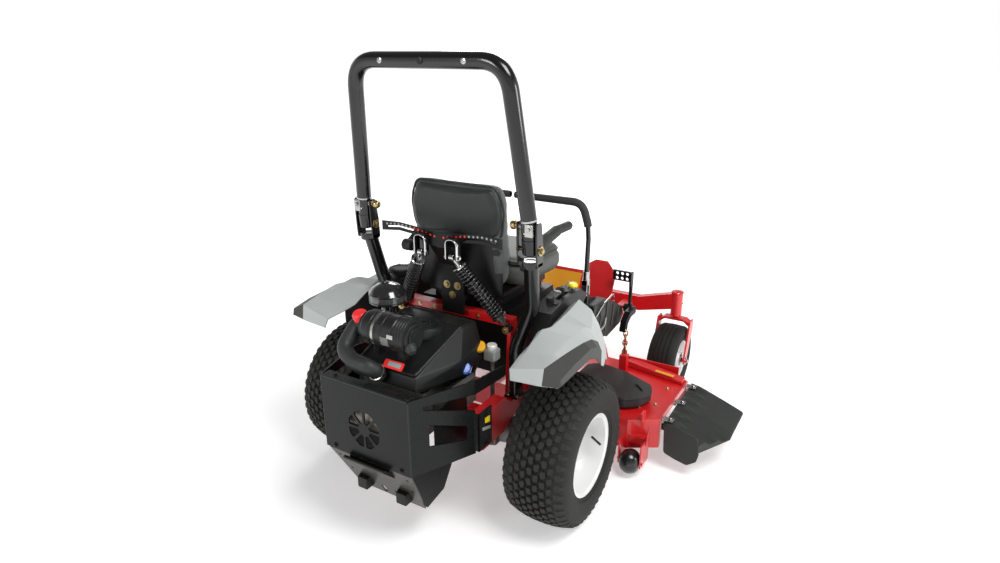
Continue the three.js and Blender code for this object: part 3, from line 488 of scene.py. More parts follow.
def tread_blocks():
    """Nine staggered rows of skewed six-sided blocks round the tyre."""
    rows, count, reach = 9, 46, 108.0
    outline = [(-15, -5), (-8, -11.5), (11, -9), (15, 5), (8, 11.5), (-11, 9)]
    bm = bmesh.new()
    for row in range(rows):
        a0 = reach * (2 * row / (rows - 1) - 1)
        lean = 1 if row % 2 else -1
        crown = WHEEL.z - 15 * (abs(a0) / reach) ** 2.4
        drop = 3.0 * abs(a0) / reach
        for k in range(count):
            turn0 = 2 * math.pi * (k + 0.5 * (row % 2)) / count
            levels = []
            for radius, share in ((crown - 14, 1.0), (crown - 1.2, 0.97), (crown, 0.88)):
                ring = []
                for t, a in outline:
                    turn = turn0 + t * share / WHEEL.z
                    along = a0 + lean * a * share
                    r = radius - drop * (abs(along) - abs(a0)) / 11
                    ring.append(bm.verts.new(WHEEL + Vector((along, r * math.sin(turn), r * math.cos(turn)))))
                levels.append(ring)
            for low, high in zip(levels, levels[1:]):
                for i in range(6):
                    j = (i + 1) % 6
                    bm.faces.new((low[i], low[j], high[j], high[i]))
            bm.faces.new(levels[-1])
            bm.faces.new(list(reversed(levels[0])))
    bmesh.ops.recalc_face_normals(bm, faces=bm.faces)
    return bm


def shoulder_lugs():
    """Short lugs that run down each shoulder from the outer tread rows."""
    lugs = []
    for k in range(46):
        turn = 2 * math.pi * k / 46
        spin = Matrix.Translation(WHEEL) @ Matrix.Rotation(turn, 4, "X")
        for side in (1, -1):
            lug = hull([(side * 114, -9, 280), (side * 114, 9, 280), (side * 112, -8, 288), (side * 112, 8, 288),
                        (side * 124, -7, 281), (side * 124, 7, 281), (side * 129, -5, 272), (side * 129, 5, 272),
                        (side * 122, -6, 268), (side * 122, 6, 268)], edge=0)
            lug.transform(spin)
            lugs.append(lug)
    return joined(*lugs)


def wheel_rim():
    """A dished steel rim; the disc sits deep, and the outer side is at negative X."""
    face = [(160, -118.4), (152, -112), (149, -96), (147, -60), (140, -34), (128, -18), (112, -12), (92, -13),
            (76, -6), (62, 2), (40, 4), (22, 4)]
    back = [(22, 44), (44, 44), (60, 20), (90, 4), (128, -4), (142, -16), (150, -40), (151, 60), (150, 100)]
    loop = [(170, -112), (172, -116), (170, -118.4), *face, *back, (152, 112), (160, 118.4), (170, 118.4),
            (172, 116), (170, 112.4), (153, 112.4), (153, 60), (153, -60), (153, -112)]
    return turned(loop, WHEEL, X, 72)


def wheel_studs():
    """Five lug nuts and the hub cap of the drive shaft."""
    parts = []
    for k in range(5):
        turn = 2 * math.pi * k / 5 + 0.3
        spot = WHEEL + Vector((3, 50 * math.sin(turn), 50 * math.cos(turn)))
        parts.append(turned([(0, 0), (12, 0), (12, 6), (9, 16), (0, 18)], spot, -X, 6))
    parts.append(turned([(0, 0), (19, 0), (19, 22), (14, 28), (0, 30)], WHEEL + Vector((6, 0, 0)), -X, 28))
    return joined(*parts)


def valve():
    start = WHEEL + Vector((-66, -118, 4))
    return joined(rod(start, start + Vector((-34, 12, -10)), 5.5, 4.5, 16),
                  rod(start + Vector((-30, 10.6, -8.8)), start + Vector((-48, 17, -14)), 5.2, 4.8, 16))


def caster_tyre():
    grooves = []
    for middle in (34, 12, -12, -34):
        crown = CASTER.z - 0.0016 * middle * middle
        grooves += [(crown, middle + 4), (crown - 4, middle + 2.4), (crown - 4, middle - 2.4), (crown, middle - 4)]
    side = [(104, 58), (112, 66), (130, 73), (150, 76), (168, 74), (180, 67), (187.5, 55)]
    loop = side + grooves + [(r, -a) for r, a in reversed(side)] + [(104, -40), (104, 40)]
    return turned(loop, CASTER, X, 80)


def caster_rim():
    half = [(34, 64), (36, 66), (44, 66), (46, 62), (52, 30), (70, 22), (86, 30), (98, 56), (102, 62), (110, 64),
            (113, 60), (112, 56), (103, 50)]
    return turned(both_ways(half), CASTER, X, 64)


def caster_bearing():
    return joined(turned([(14, 66), (30, 66), (30, 71), (24, 73), (14, 73)], CASTER, X, 36),
                  turned([(14, 66), (30, 66), (30, 71), (24, 73), (14, 73)], CASTER, -X, 36))


def fork_trim():
    """Dust cap and axle nuts on a caster fork."""
    top = turned([(0, 556.5), (34, 556.5), (34, 561), (30, 566), (12, 569), (0, 570)], Vector((CASTER.x, KINGPIN_Y, 0)),
                 Z, 36)
    nuts = [bolt((CASTER.x + s * 94, CASTER.y, CASTER.z), (s, 0, 0), 12) for s in (1, -1)]
    return joined(painted(top, 1), *nuts)


def build_wheels():
    pair("drive_tyre", lambda: joined(tyre_carcass(), tread_blocks(), shoulder_lugs()), TYRE, "drive_wheel",
         ["tyre"], sharp=38)
    pair("drive_rim", wheel_rim, WHITE, "drive_wheel", ["rim"])
    pair("drive_wheel_studs", wheel_studs, STEEL, "drive_wheel")
    pair("drive_wheel_valve", valve, PIPING, "drive_wheel")
    pair("caster_tyre", caster_tyre, TYRE, "caster_wheel", ["caster_wheel"], sharp=50)
    pair("caster_rim", caster_rim, WHITE, "caster_wheel")
    pair("caster_bearing", caster_bearing, STEEL, "caster_wheel")
    pair("caster_fork_arch", lambda: taken("caster_fork_r", 2.5), RED, "caster_fork", ["caster_fork"])
    pair("caster_fork_trim", fork_trim, [STEEL, RED], "caster_fork")


# ---- chassis ----
def front_axle():
    beam = [(-540, 556), (-350, 502), (350, 502), (540, 556), (540, 462), (350, 416), (-350, 416), (-540, 462)]
    bar = plate(beam, "y", -1345, -1300, 5)
    return joined(bar, *[turned([(17, 424), (29, 424), (31, 427), (31, 553), (29, 556), (17, 556)],
                                Vector((s * 560, KINGPIN_Y, 0)), Z, 48) for s in (1, -1)])


def axle_bolts():
    return joined(bolts([(s * x, -1345, z) for s in (1, -1) for x in (270, 305) for z in (435, 480)], -Y, 8),
                  *[rod((s * 585, KINGPIN_Y, 500), (s * 596, KINGPIN_Y, 500), 4.5, 3) for s in (1, -1)])


def frame_trim():
    """Zinc bolts on the rails, the cross beam and the shock pins."""
    parts = [bolts([(s * 266, 28, 766)], Y, 9) for s in (1, -1)]
    parts += [bolts([(s * 312.2, y, z) for y in (240, -90, -430, -620, -1180) for z in (425, 455)], (s, 0, 0), 7)
              for s in (1, -1)]
    parts.append(bolts([(x, -11.8, 781) for x in (-190, -110, 110, 190)], Y, 6))
    return joined(*parts)


def build_frame():
    piece("frame_weldment", taken("frame", 2.5), RED, "chassis", ["frame"])
    piece("frame_bolts", frame_trim(), ZINC, "chassis")
    piece("front_axle_beam", front_axle(), RED, "chassis", ["front_axle"])
    piece("front_axle_bolts", axle_bolts(), ZINC, "chassis")


# ---- engine guard ----
def vent_holes(x, z):
    """Eight rounded radial slots round a blank middle."""
    holes = []
    for i in range(8):
        mid = (i + 0.5) * math.pi / 4
        corners = [(28, -0.26), (74, -0.31), (77, 0.0), (74, 0.31), (28, 0.26)]
        slot = [(x + r * math.cos(mid + t), z + r * math.sin(mid + t)) for r, t in corners]
        holes.append(rounded(slot, 6, closed=True, steps=3))
    return holes


def guard_face():
    outline = rounded([(-205, 385), (205, 385), (205, 686), (-205, 686)], 6, closed=True, steps=3)
    return plate(outline, "y", 566, 572, 1.2, vent_holes(6, 514))


def guard_side():
    """The right side sheet, folded forward from the rear face, with its window and the band above it."""
    run, lean = math.hypot(300 - 207, 572 - 300), math.atan2(300 - 207, 572 - 300)
    outline = [(-2, 385), (-run, 366), (-run, 552), (-66, 632), (-60, 636), (-60, 648), (-66, 649), (-run, 618),
               (-run, 674), (-2, 689)]
    window = rounded([(-250, 440), (-82, 482), (-82, 570), (-250, 500)], 8, closed=True, steps=3)
    sheet = plate(outline, "x", 0, 6, 1.2, [window])
    sheet.transform(Matrix.Translation((-207, 572, 0)) @ Matrix.Rotation(-lean, 4, "Z"))
    band = plate([(88, 600), (302, 618), (302, 674), (88, 650)], "x", -300, -294, 1.2)
    foot = joined(box(-320, -312.3, 217, 306, 380, 540, 1.5), box(-320, -295, 300, 306, 380, 540, 1.5))
    lining = plate([(264, 392), (470, 400), (470, 600), (264, 620)], "x", -238, -234, 1)
    return joined(sheet, band, foot, lining)


def guard_folds():
    """The rounded bends at the top and at the two rear corners, and the top flange with its end tab."""
    top = swept([(-203, 569, 686), (203, 569, 686)], 4.2, 16)
    flange = plate([(-201, 528), (201, 528), (201, 568), (-201, 568)], "z", 683, 689, 1)
    corners = [swept([(s * 204.5, 569, 386), (s * 204.5, 569, 684)], 3.4, 16) for s in (1, -1)]
    tab = plate(rounded([(-205, 540), (-188, 540), (-188, 566), (-205, 566)], 3, True, 3), "z", 688, 696, 1)
    return joined(top, flange, *corners, tab)


def guard_bolts():
    rear = bolts([(x, 572.3, 400) for x in (-160, 160)], Y, 7)
    top = bolts([(x, 548, 689) for x in (-150, 0, 150)], Z, 6)
    flanges = [bolts([(s * 320.3, 260, z) for z in (398, 520)], (s, 0, 0), 7) for s in (1, -1)]
    return joined(rear, top, *flanges)


def yellow_label():
    return plate(rounded([(232, 478), (266, 486), (266, 512), (232, 504)], 2, True, 3), "x", -320.9, -320.1, 0.2)


def pale_label():
    return plate(rounded([(228, 446), (284, 462), (284, 476), (228, 460)], 2, True, 3), "x", -320.9, -320.1, 0.2)


def lower_plate():
    """The bronze sloping plate under the guard with its long slots."""
    high, low = Vector((0, 560, 381)), Vector((0, 446, 160))
    slope = (high - low).length
    outline = [(-164, 0), (164, 0), (200, slope), (-200, slope)]
    slots = [rounded([(x - 9, 14), (x + 9, 14), (x + 9, 62), (x - 9, 62)], 7, True, 4) for x in (-46, 22, 128)]
    holes = [circle(x, v, 6, 10) for x, v in ((-150, 120), (150, 120), (-165, 210), (165, 210))]
    sheet = plate(outline, "z", -6, 0, 1, slots + holes)
    way = (high - low).normalized()
    out = X.cross(way)
    turn = Matrix((X, way, out)).transposed().to_4x4()
    sheet.transform(Matrix.Translation(low) @ turn)
    return sheet


def pan_walls():
    wall = [(558, 380), (450, 163), (340, 185), (262, 300), (262, 362), (545, 380)]
    soft = rounded(wall, 14, closed=True, steps=4)
    walls = [plate(soft, "x", s * 170 - 3, s * 170 + 3, 1) for s in (1, -1)]
    floor = plate([(-168, 342), (168, 342), (168, 446), (-168, 446)], "z", 186, 190, 1)
    return joined(*walls, floor)


def foot_step():
    """The black shelf across the middle of the plate, with a rounded rear lip."""
    bend = rounded([(514, 300), (598, 380), (598, 388), (588, 388), (508, 312)], 4, True, 3)
    shelf = plate(bend, "x", -98, 98, 1.5)
    ribs = [plate([(520, 306), (566, 350), (566, 380), (532, 356)], "x", x - 3, x + 3, 1) for x in (-94, 94)]
    return joined(shelf, *ribs)


def bump_blocks():
    """The two rubber buffers under the guard."""
    blocks = [box(x - 24, x + 24, 466, 514, 190, 240, 4) for x in (97, -97)]
    caps = [box(x - 26, x + 26, 463, 503, 230, 241, 3) for x in (97, -97)]
    return joined(*blocks, *caps)


def build_guard():
    piece("guard_rear_sheet", joined(guard_face(), guard_folds()), BLACK_SATIN, "chassis",
          ["engine_guard"])
    pair("guard_side_sheet", guard_side, BLACK_SATIN, "chassis")
    piece("guard_bolts", guard_bolts(), BLACK_PLATE, "chassis")
    piece("flange_label_yellow", yellow_label(), YELLOW, "chassis")
    piece("flange_label_pale", pale_label(), PALE_PLASTIC, "chassis")
    piece("guard_lower_plate", lower_plate(), BRONZE, "chassis", ["guard_foot"])
    piece("guard_pan", pan_walls(), BLACK_SATIN, "chassis")
    piece("guard_step", foot_step(), BLACK_PLATE, "chassis")
    piece("bump_blocks", bump_blocks(), BLACK_PLATE, "chassis")


# ---- roll bar ----
def rops_post():
    path = rounded([(-298, 0, 476), (-300, 0, 690), (-318, 0, 740), (-377, 8, 885), (-393, 54, 1078)], 160, steps=10)
    leg = swept(path, 29, 32)
    outline = rounded([(38, 1066), (84, 1066), (88, 1120), (92, 1236), (56, 1236), (42, 1150)], 12, True, 4)
    cheeks = [plate(outline, "x", lo, hi, 1.2) for lo, hi in ((-436, -429), (-355, -349))]
    collar = turned([(20, 1060), (33, 1060), (34, 1064), (34, 1084), (32, 1088), (20, 1088)], Vector((-395, 60, 0)),
                    Z, 36)
    saddle = box(-436, -349, 40, 82, 1068, 1086, 3)
    foot = box(-330, -266, -38, 38, 476, 486, 2)
    return joined(leg, *cheeks, collar, saddle, foot)


def rops_post_bolts():
    pivot = joined(rod((-446, *ROLL_BAR_PIVOT), (-341, *ROLL_BAR_PIVOT), 8),
                   bolt((-437, *ROLL_BAR_PIVOT), -X, 11), bolt((-348, *ROLL_BAR_PIVOT), X, 11))
    return joined(pivot, bolts([(x, y, 486) for x in (-320, -276) for y in (-26, 26)], Z, 6))


def rops_pin():
    """The spring-loaded lock pin on the inner side, with its collar and knob."""
    pin = joined(rod((-415, *LOCK_PIN), (-325, *LOCK_PIN), 7.5), rod((-352, *LOCK_PIN), (-344, *LOCK_PIN), 14))
    knob = turned([(0, 0), (14, 0), (17, 3), (17, 12), (12, 20), (8, 22), (0, 22)], Vector((-337, *LOCK_PIN)), X, 24)
    return joined(pin, knob)


def rops_pin_spring():
    turns, steps = 5, 16
    y, z = LOCK_PIN
    path = [Vector((-372 + 22 * k / (turns * steps), y + 12 * math.cos(2 * math.pi * k / steps),
                    z + 12 * math.sin(2 * math.pi * k / steps))) for k in range(turns * steps + 1)]
    return swept(path, 1.8, 8)


def latch_block():
    """The bright latch behind the hoop's foot, with its bolt."""
    body = box(-424, -392, 92, 105, 1186, 1232, 2)
    return joined(body, bolt((-408, 105, 1216), Y, 8), rod((-426, 98, 1196), (-386, 98, 1196), 5))


def rops_hoop():
    corner = 118
    path = rounded([(-395, 68, 1172), (-392, 76, 1250), (-337, 137, 1784), (337, 137, 1784), (392, 76, 1250),
                    (395, 68, 1172)], corner, steps=14)
    bar = swept(path, 30, 36)
    feet = [turned([(0, 0), (24, 0), (29, 4), (30, 10), (30, 60), (0, 60)], Vector((s * 395, 64, 1112)),
                   Vector((0, 0.12, 1)), 36) for s in (1, -1)]
    return joined(bar, *feet)


def hoop_bands():
    return joined(*[turned([(29.5, 0), (31.5, 1), (31.5, 7), (29.5, 8)], Vector((s * 393, 74.5, 1238)),
                           Vector((-s * 0.1, 0.113, 1)), 36) for s in (1, -1)])


def hoop_plug(x, radius, tall):
    """A round plug on the rear of the top bar."""
    return turned([(0, 0), (radius, 0), (radius, tall), (radius * 0.7, tall + 1.5), (0, tall + 2)],
                  Vector((x, 166, 1783)), Y, 24)


def build_rops():
    pair("roll_bar_post", rops_post, BLACK_GLOSS, "chassis", ["rops_post"])
    pair("roll_bar_pivot_bolts", rops_post_bolts, ZINC, "chassis")
    pair("roll_bar_latch", latch_block, STEEL, "chassis")
    piece("roll_bar_hoop", rops_hoop(), BLACK_GLOSS, "rops_hoop", ["rops_hoop"])
    piece("roll_bar_bands", hoop_bands(), STEEL, "rops_hoop")
    for name, x, r, tall, finish in (("left", 185, 11, 1, STEEL), ("middle", 0, 13, 3, BLACK_PLATE),
                                     ("right", -185, 11, 1, STEEL)):
        piece(f"roll_bar_plug_{name}", hoop_plug(x, r, tall), finish, "rops_hoop")
    pair("roll_bar_pin", rops_pin, ZINC, "rops_pin", ["rops_pin"])
    pair("roll_bar_pin_spring", rops_pin_spring, STEEL, "chassis")


# ---- fenders, console and tank ----
def fender():
    """A faceted sheet lofted through sections from the rear skirt over the wheel to the front, and its inner wall."""
    # y, the inner skin's shift along it, then (x, z) from the inner edge over the crown to the flare's lower edge
    sections = [
        (305, -5, [(-452, 722), (-470, 724), (-560, 730), (-578, 732), (-634, 741), (-638, 737)]),
        (293, -5, [(-442, 758), (-462, 764), (-560, 788), (-580, 795), (-643, 766), (-648, 745)]),
        (200, 0, [(-430, 770), (-452, 782), (-566, 800), (-596, 804), (-646, 782), (-649, 748)]),
        (140, 0, [(-430, 776), (-448, 802), (-568, 812), (-606, 808), (-647, 786), (-649, 750)]),
        (60, 0, [(-430, 812), (-448, 824), (-572, 824), (-620, 811), (-648, 790), (-649, 751)]),
        (0, 0, [(-430, 790), (-456, 814), (-576, 830), (-625, 802), (-648, 776), (-649, 725)]),
        (-50, 0, [(-430, 792), (-466, 828), (-580, 822), (-630, 774), (-647, 740), (-648, 680)]),
        (-100, 0, [(-430, 802), (-472, 840), (-580, 796), (-614, 752), (-630, 705), (-638, 650)]),
        (-160, 0, [(-430, 814), (-474, 853), (-556, 814), (-592, 762), (-612, 700), (-618, 640)]),
        (-215, 4, [(-430, 824), (-470, 861), (-526, 828), (-562, 772), (-588, 700), (-598, 625)]),
        (-246, 5, [(-430, 800), (-466, 832), (-518, 792), (-552, 742), (-582, 680), (-592, 612)]),
        (-258, 5, [(-430, 600), (-466, 600), (-518, 600), (-552, 600), (-580, 600), (-590, 600)]),
    ]
    inward = ((0, 5), (0, 5), (0, 5), (2, 5), (5, 3), (5, 0))
    bm = bmesh.new()
    outer = [[bm.verts.new((x, y, z)) for x, z in points] for y, _, points in sections]
    inner = [[bm.verts.new((x + dx, y + shift, z - dz)) for (x, z), (dx, dz) in zip(points, inward)]
             for y, shift, points in sections]
    last, end = len(inward) - 1, len(sections) - 1
    for i in range(end):
        flare = sections[i + 1][0] > -60
        for j in range(last):
            for grid in (outer, inner):
                face = bm.faces.new((grid[i][j], grid[i][j + 1], grid[i + 1][j + 1], grid[i + 1][j]))
                face.material_index = 1 if flare and j >= 3 else 0
        for j in (0, last):
            face = bm.faces.new((outer[i][j], outer[i + 1][j], inner[i + 1][j], inner[i][j]))
            face.material_index = 1 if flare and j else 0
    for j in range(last):
        for i in (0, end):
            bm.faces.new((outer[i][j], outer[i][j + 1], inner[i][j + 1], inner[i][j]))
    bmesh.ops.recalc_face_normals(bm, faces=bm.faces)
    shell = bevelled(bm, 1.4, angle=7, segments=2)
    wall = painted(plate([(200, 768), (140, 774), (60, 810), (0, 788), (-50, 790), (-246, 798), (-246, 700), (-60, 690),
                          (60, 660), (200, 700)], "x", -434, -428, 1.5), 2)
    return joined(shell, wall)


def fender_screws():
    return bolts([(-500, -226, 740), (-500, -238, 640)], -Y, 6)


def console_trim():
    """Knobs, key, gauge and hour meter set in the right console."""
    parts = [
        painted(rod((-372, -150, 850), (-372, -146, 874), 17, 15), 0),
        painted(rod((-402, -140, 842), (-402, -137, 858), 12, 11), 0),
        painted(rod((-360, -250, 862), (-360, -249, 872), 22, 21), 1),
        painted(rod((-360, -250, 871), (-360, -249, 874), 17, 16), 0),
        painted(rod((-366, -330, 858), (-368, -333, 870), 12, 10), 1),
        painted(box(-371, -361, -336, -330, 868, 884, 2), 1),
    ]
    return joined(*parts)


def pod():
    """The olive-grey side body in front of the console, with its ribs and pump controls."""
    outline = rounded([(-545, 596), (-545, 706), (-700, 694), (-900, 590), (-926, 540), (-880, 504), (-720, 490),
                       (-600, 540)], 16, True, 5)
    body = plate(outline, "x", -397, -338, 7)
    ribs = [plate([(y, 530), (y - 14, 530), (y - 34, z), (y - 20, z)], "x", -402, -396, 1.5)
            for y, z in ((-610, 680), (-680, 676), (-760, 640), (-830, 606))]
    cap = rod((-396, -640, 640), (-404, -640, 640), 26, 24)
    return joined(body, *ribs, cap)


def cable(points, radius=3.0):
    return swept(rounded(points, 40, steps=8), radius, 10)


def build_fenders():
    pair("wheel_fender", fender, [FENDER_PALE, FENDER_DARK, CONSOLE], "chassis", ["fender"], sharp=22)
    pair("fender_screws", fender_screws, BLACK_PLATE, "chassis")
    piece("console_housing", taken("console_r", 3.0), CONSOLE, "chassis", ["console_r"])
    piece("console_fittings", console_trim(), [CONSOLE, PALE_PLASTIC], "chassis")
    piece("side_pod", pod(), POD, "chassis")
    piece("pump_cable_front", cable([(-400, -560, 640), (-408, -640, 690), (-404, -760, 700), (-380, -830, 640)], 4),
          STEEL, "chassis")
    piece("pump_cable_rear", cable([(-404, -470, 600), (-412, -560, 560), (-408, -660, 570), (-398, -700, 600)], 4),
          PALE_PLASTIC, "chassis")
    piece("fuel_tank_shell", taken("fuel_tank", 6.0), CONSOLE, "chassis", ["fuel_tank"])
    ridges = [box(-3, 3, -54, -46, -4, 16, 1.5) for _ in range(24)]
    for k, ridge in enumerate(ridges):
        ridge.transform(Matrix.Translation((370, -105, 871)) @ Matrix.Rotation(2 * math.pi * k / 24, 4, "Z"))
    cap = turned([(0, 0), (50, 0), (53, 3), (53, 15), (48, 20), (40, 22), (38, 19), (0, 19)],
                 Vector((370, -105, 866.5)), Z, 48)
    piece("fuel_filler_cap", joined(cap, *ridges), CONSOLE, "fuel_cap", ["fuel_cap"])
    piece("pto_knob", joined(
        painted(rod((-400, -300, 815), (-400, -300, 876), 7), 1),
        painted(turned([(0, 872), (12, 873), (20, 879), (21, 886), (16, 893), (0, 895)], Vector((-400, -300, 0)), Z,
                       32), 0)), [YELLOW, STEEL], "pto_switch", ["pto_switch"])
    piece("throttle_arm", joined(
        rod((-400, -215, 826), (-388, -215, 826), 9), box(-397, -391, -219, -211, 826, 884, 1.5),
        ball((-394, -215, 888), (12, 9, 9))), CONSOLE, "throttle_lever", ["throttle_lever"])


# ---- engine ----
def engine_shroud():
    """The angular top cover: a sloping deck with a raised rim, side bulges and the round blower housing."""
    deck = hull([(-157, 78, 806), (157, 78, 806), (-157, 170, 810), (157, 170, 810), (-142, 448, 706),
                 (142, 448, 706), (-150, 462, 664), (150, 462, 664), (-205, 250, 712), (205, 250, 712),
                 (-190, 90, 722), (190, 90, 722), (-205, 250, 645), (205, 250, 645), (-190, 75, 645),
                 (190, 75, 645), (-150, 440, 645), (150, 440, 645)], 5, 3)
    blower = turned([(0, 770), (92, 770), (96, 780), (92, 806), (84, 812), (60, 812), (54, 808), (0, 808)],
                    BLOWER, Z, 64)
    rim = swept(rounded([(-150, 96, 806), (-150, 172, 809), (-134, 440, 712), (134, 440, 712), (150, 172, 809),
                         (150, 96, 806)], 12, True, 4), 5, 10, closed=True)
    duct = hull([(-196, 120, 716), (-196, 260, 716), (-176, 112, 764), (-168, 280, 748), (-140, 112, 790),
                 (-130, 290, 770), (-140, 112, 740), (-130, 290, 730)], 6, 3)
    return joined(deck, blower, rim, duct)


def blower_grille():
    circles = [turned([(r, 808), (r + 4, 808), (r + 4, 812), (r, 812)], BLOWER, Z, 48)
              for r in (14, 26, 38, 48)]
    spokes = []
    for k in range(12):
        spoke = box(12, 54, -1.5, 1.5, 808, 811, 0.5)
        spoke.transform(Matrix.Translation(BLOWER) @ Matrix.Rotation(k * math.pi / 6, 4, "Z"))
        spokes.append(spoke)
    return joined(*circles, *spokes)


def air_cleaner():
    """The ribbed canister lying across the engine, with a stepped cap on the driver's right, standing on two feet."""
    profile = [(0, -124), (38, -124), (40, -120), (36, -117), (50, -115), (52, -111), (53, -107)]
    for k in range(4):
        a = -106 + 12 * k
        profile += [(65, a), (67, a + 2), (67, a + 8), (65, a + 10), (64, a + 11)]
    profile += [(66, -56), (68, -54), (68, -46), (66, -44), (65, -8), (67, -6), (67, 8), (65, 10), (65, 50)]
    profile += [(67, 52), (67, 82), (62, 92), (56, 98), (56, 106), (0, 106)]
    feet = [box(x0, x1, 387, 423, 744, 788, 3) for x0, x1 in ((-70, -40), (40, 70))]
    return joined(turned(profile, CANISTER, X, 64), *feet)


def cleaner_clamps():
    """Bright clips and a band on the canister."""
    band = [(65, 26), (68.5, 26.6), (68.5, 37.4), (65, 38)]
    parts = [turned(band, CANISTER, X, 64)]
    for turn in (0.7, 2.8, 4.9):
        clip = box(-70, -42, -8, 8, 66, 71, 1.5)
        clip.transform(Matrix.Translation(CANISTER) @ Matrix.Rotation(turn, 4, "X"))
        parts.append(clip)
    return joined(*parts)


def dust_spout():
    """The rubber dust valve that hangs from the canister's right end."""
    way = Vector((-0.72, 0.42, -0.55))
    return turned([(0, 0), (21, 0), (23, 3), (23, 28), (20, 34), (14, 46), (0, 48)], Vector((-98, 424, 828)), way, 28)


def cleaner_label():
    """A blank pale patch wrapped round the canister's rear."""
    radius = 67.6
    bm = bmesh.new()
    rows = []
    for k in range(7):
        turn = math.radians(86 + 5 * k)
        y, z = CANISTER.y + radius * math.sin(turn), CANISTER.z + radius * math.cos(turn)
        rows.append([bm.verts.new((x, y, z)) for x in (-44, -8)])
    for a, b in zip(rows, rows[1:]):
        bm.faces.new((a[0], a[1], b[1], b[0]))
    bmesh.ops.solidify(bm, geom=list(bm.faces), thickness=-0.8)
    bmesh.ops.recalc_face_normals(bm, faces=bm.faces)
    return bm


def dome():
    """The inlet pre-cleaner: a dark faceted lid and base on a short neck."""
    lid = turned([(0, 957), (14, 957), (30, 953), (46, 946), (60, 936), (68, 924), (73, 917), (73, 911), (0, 911)],
                 PRECLEANER, Z, 64)
    base = turned([(0, 874), (58, 874), (68, 877), (73, 882), (73, 888), (0, 888)], PRECLEANER, Z, 64)
    knob = turned([(0, 953), (9, 953), (10, 957), (8, 962), (0, 963)], PRECLEANER, Z, 24)
    neck = rod((150, 240, 806), (150, 240, 878), 28)
    return joined(lid, base, neck, knob)


def dome_band():
    return turned([(0, 887), (70, 887), (72, 890), (72, 908), (70, 912), (0, 912)], PRECLEANER, Z, 64)


def engine_block_detail():
    """Finned cylinders, rocker covers and the sump."""
    parts = [box(-148, 148, 112, 412, 441, 628, 8)]
    for s in (1, -1):
        for k in range(7):
            y = 172 + 30 * k
            parts.append(hull([(s * 150, y, 600), (s * 150, y, 480), (s * 218, y, 636), (s * 218, y, 524),
                               (s * 150, y + 8, 600), (s * 150, y + 8, 480), (s * 218, y + 8, 636),
                               (s * 218, y + 8, 524)], 1))
        parts.append(hull([(s * 214, 186, 640), (s * 214, 334, 640), (s * 214, 186, 520), (s * 214, 334, 520),
                           (s * 236, 196, 632), (s * 236, 324, 632), (s * 236, 196, 528), (s * 236, 324, 528)], 5))
    return joined(*parts)


def oil_parts():
    """Oil cap on its tube and the blue filter cap."""
    return {
        "oil_cap": (joined(turned([(0, 0), (22, 0), (25, 3), (25, 14), (20, 18), (0, 20)], Vector((-187, 96, 700)),
                                  Vector((-0.25, 0.5, 0.8)), 24)), AMBER),
        "oil_tube": (cable([(-160, 130, 560), (-182, 112, 640), (-187, 97, 702)], 9), ENGINE_PLASTIC),
        "filter_cap": (joined(turned([(0, 0), (24, 0), (26, 4), (26, 22), (20, 28), (0, 30)],
                                     Vector((-186, 206, 650)), Vector((-0.5, 0.5, 0.7)), 24)), BLUE),
    }


def reservoir():
    shell = hull([(-250, 36, 642), (-194, 36, 642), (-250, 84, 642), (-194, 84, 642), (-250, 36, 692), (-194, 36, 692),
                  (-250, 84, 692), (-194, 84, 692)], 8, 3)
    return painted(shell, 0)


def reservoir_cap():
    return turned([(0, 690), (20, 690), (22, 694), (22, 706), (18, 710), (0, 711)], Vector((-222, 60, 0)), Z, 28)


def transaxle():
    case = hull([(-120, -70, 240), (-120, 90, 240), (-120, -70, 372), (-120, 90, 372), (-250, -60, 255),
                 (-250, 80, 255), (-250, -60, 365), (-250, 80, 365)], 9, 3)
    ribs = [hull([(x, -72, 262), (x, 92, 262), (x, -72, 350), (x, 92, 350), (x + 6, -72, 262), (x + 6, 92, 262),
                  (x + 6, -72, 350), (x + 6, 92, 350)], 2) for x in (-236, -206, -176, -146)]
    hub = rod((-245, 0, 305), (-372, 0, 305), 62, 48, 40, 4)
    shaft = rod((-370, 0, 305), (-499, 0, 305), 19, sides=32)
    pump = rod((-185, 10, 360), (-185, 10, 395), 44, sides=40, edge=4)
    pipe = rod((-215, 46, 360), (-215, 46, 660), 9)
    return joined(case, *ribs, hub, shaft, pump, pipe)


def muffler():
    body = turned([(0, -150), (50, -150), (57, -144), (58, -138), (58, -60), (56, -57), (58, -54), (58, 54), (56, 57),
                   (58, 60), (58, 138), (57, 144), (50, 150), (0, 150)], Vector((0, 495, 540)), X, 48)
    pipes = [rod((x, 495, 540), (x, 418, 540), 19) for x in (-90, 90)]
    return joined(body, *pipes)


def hose_path():
    return rounded([(100, 405, 846), (158, 405, 846), (160, 492, 770), (96, 508, 742), (12, 508, 738),
                    (12, 462, 690)], 58, steps=10)


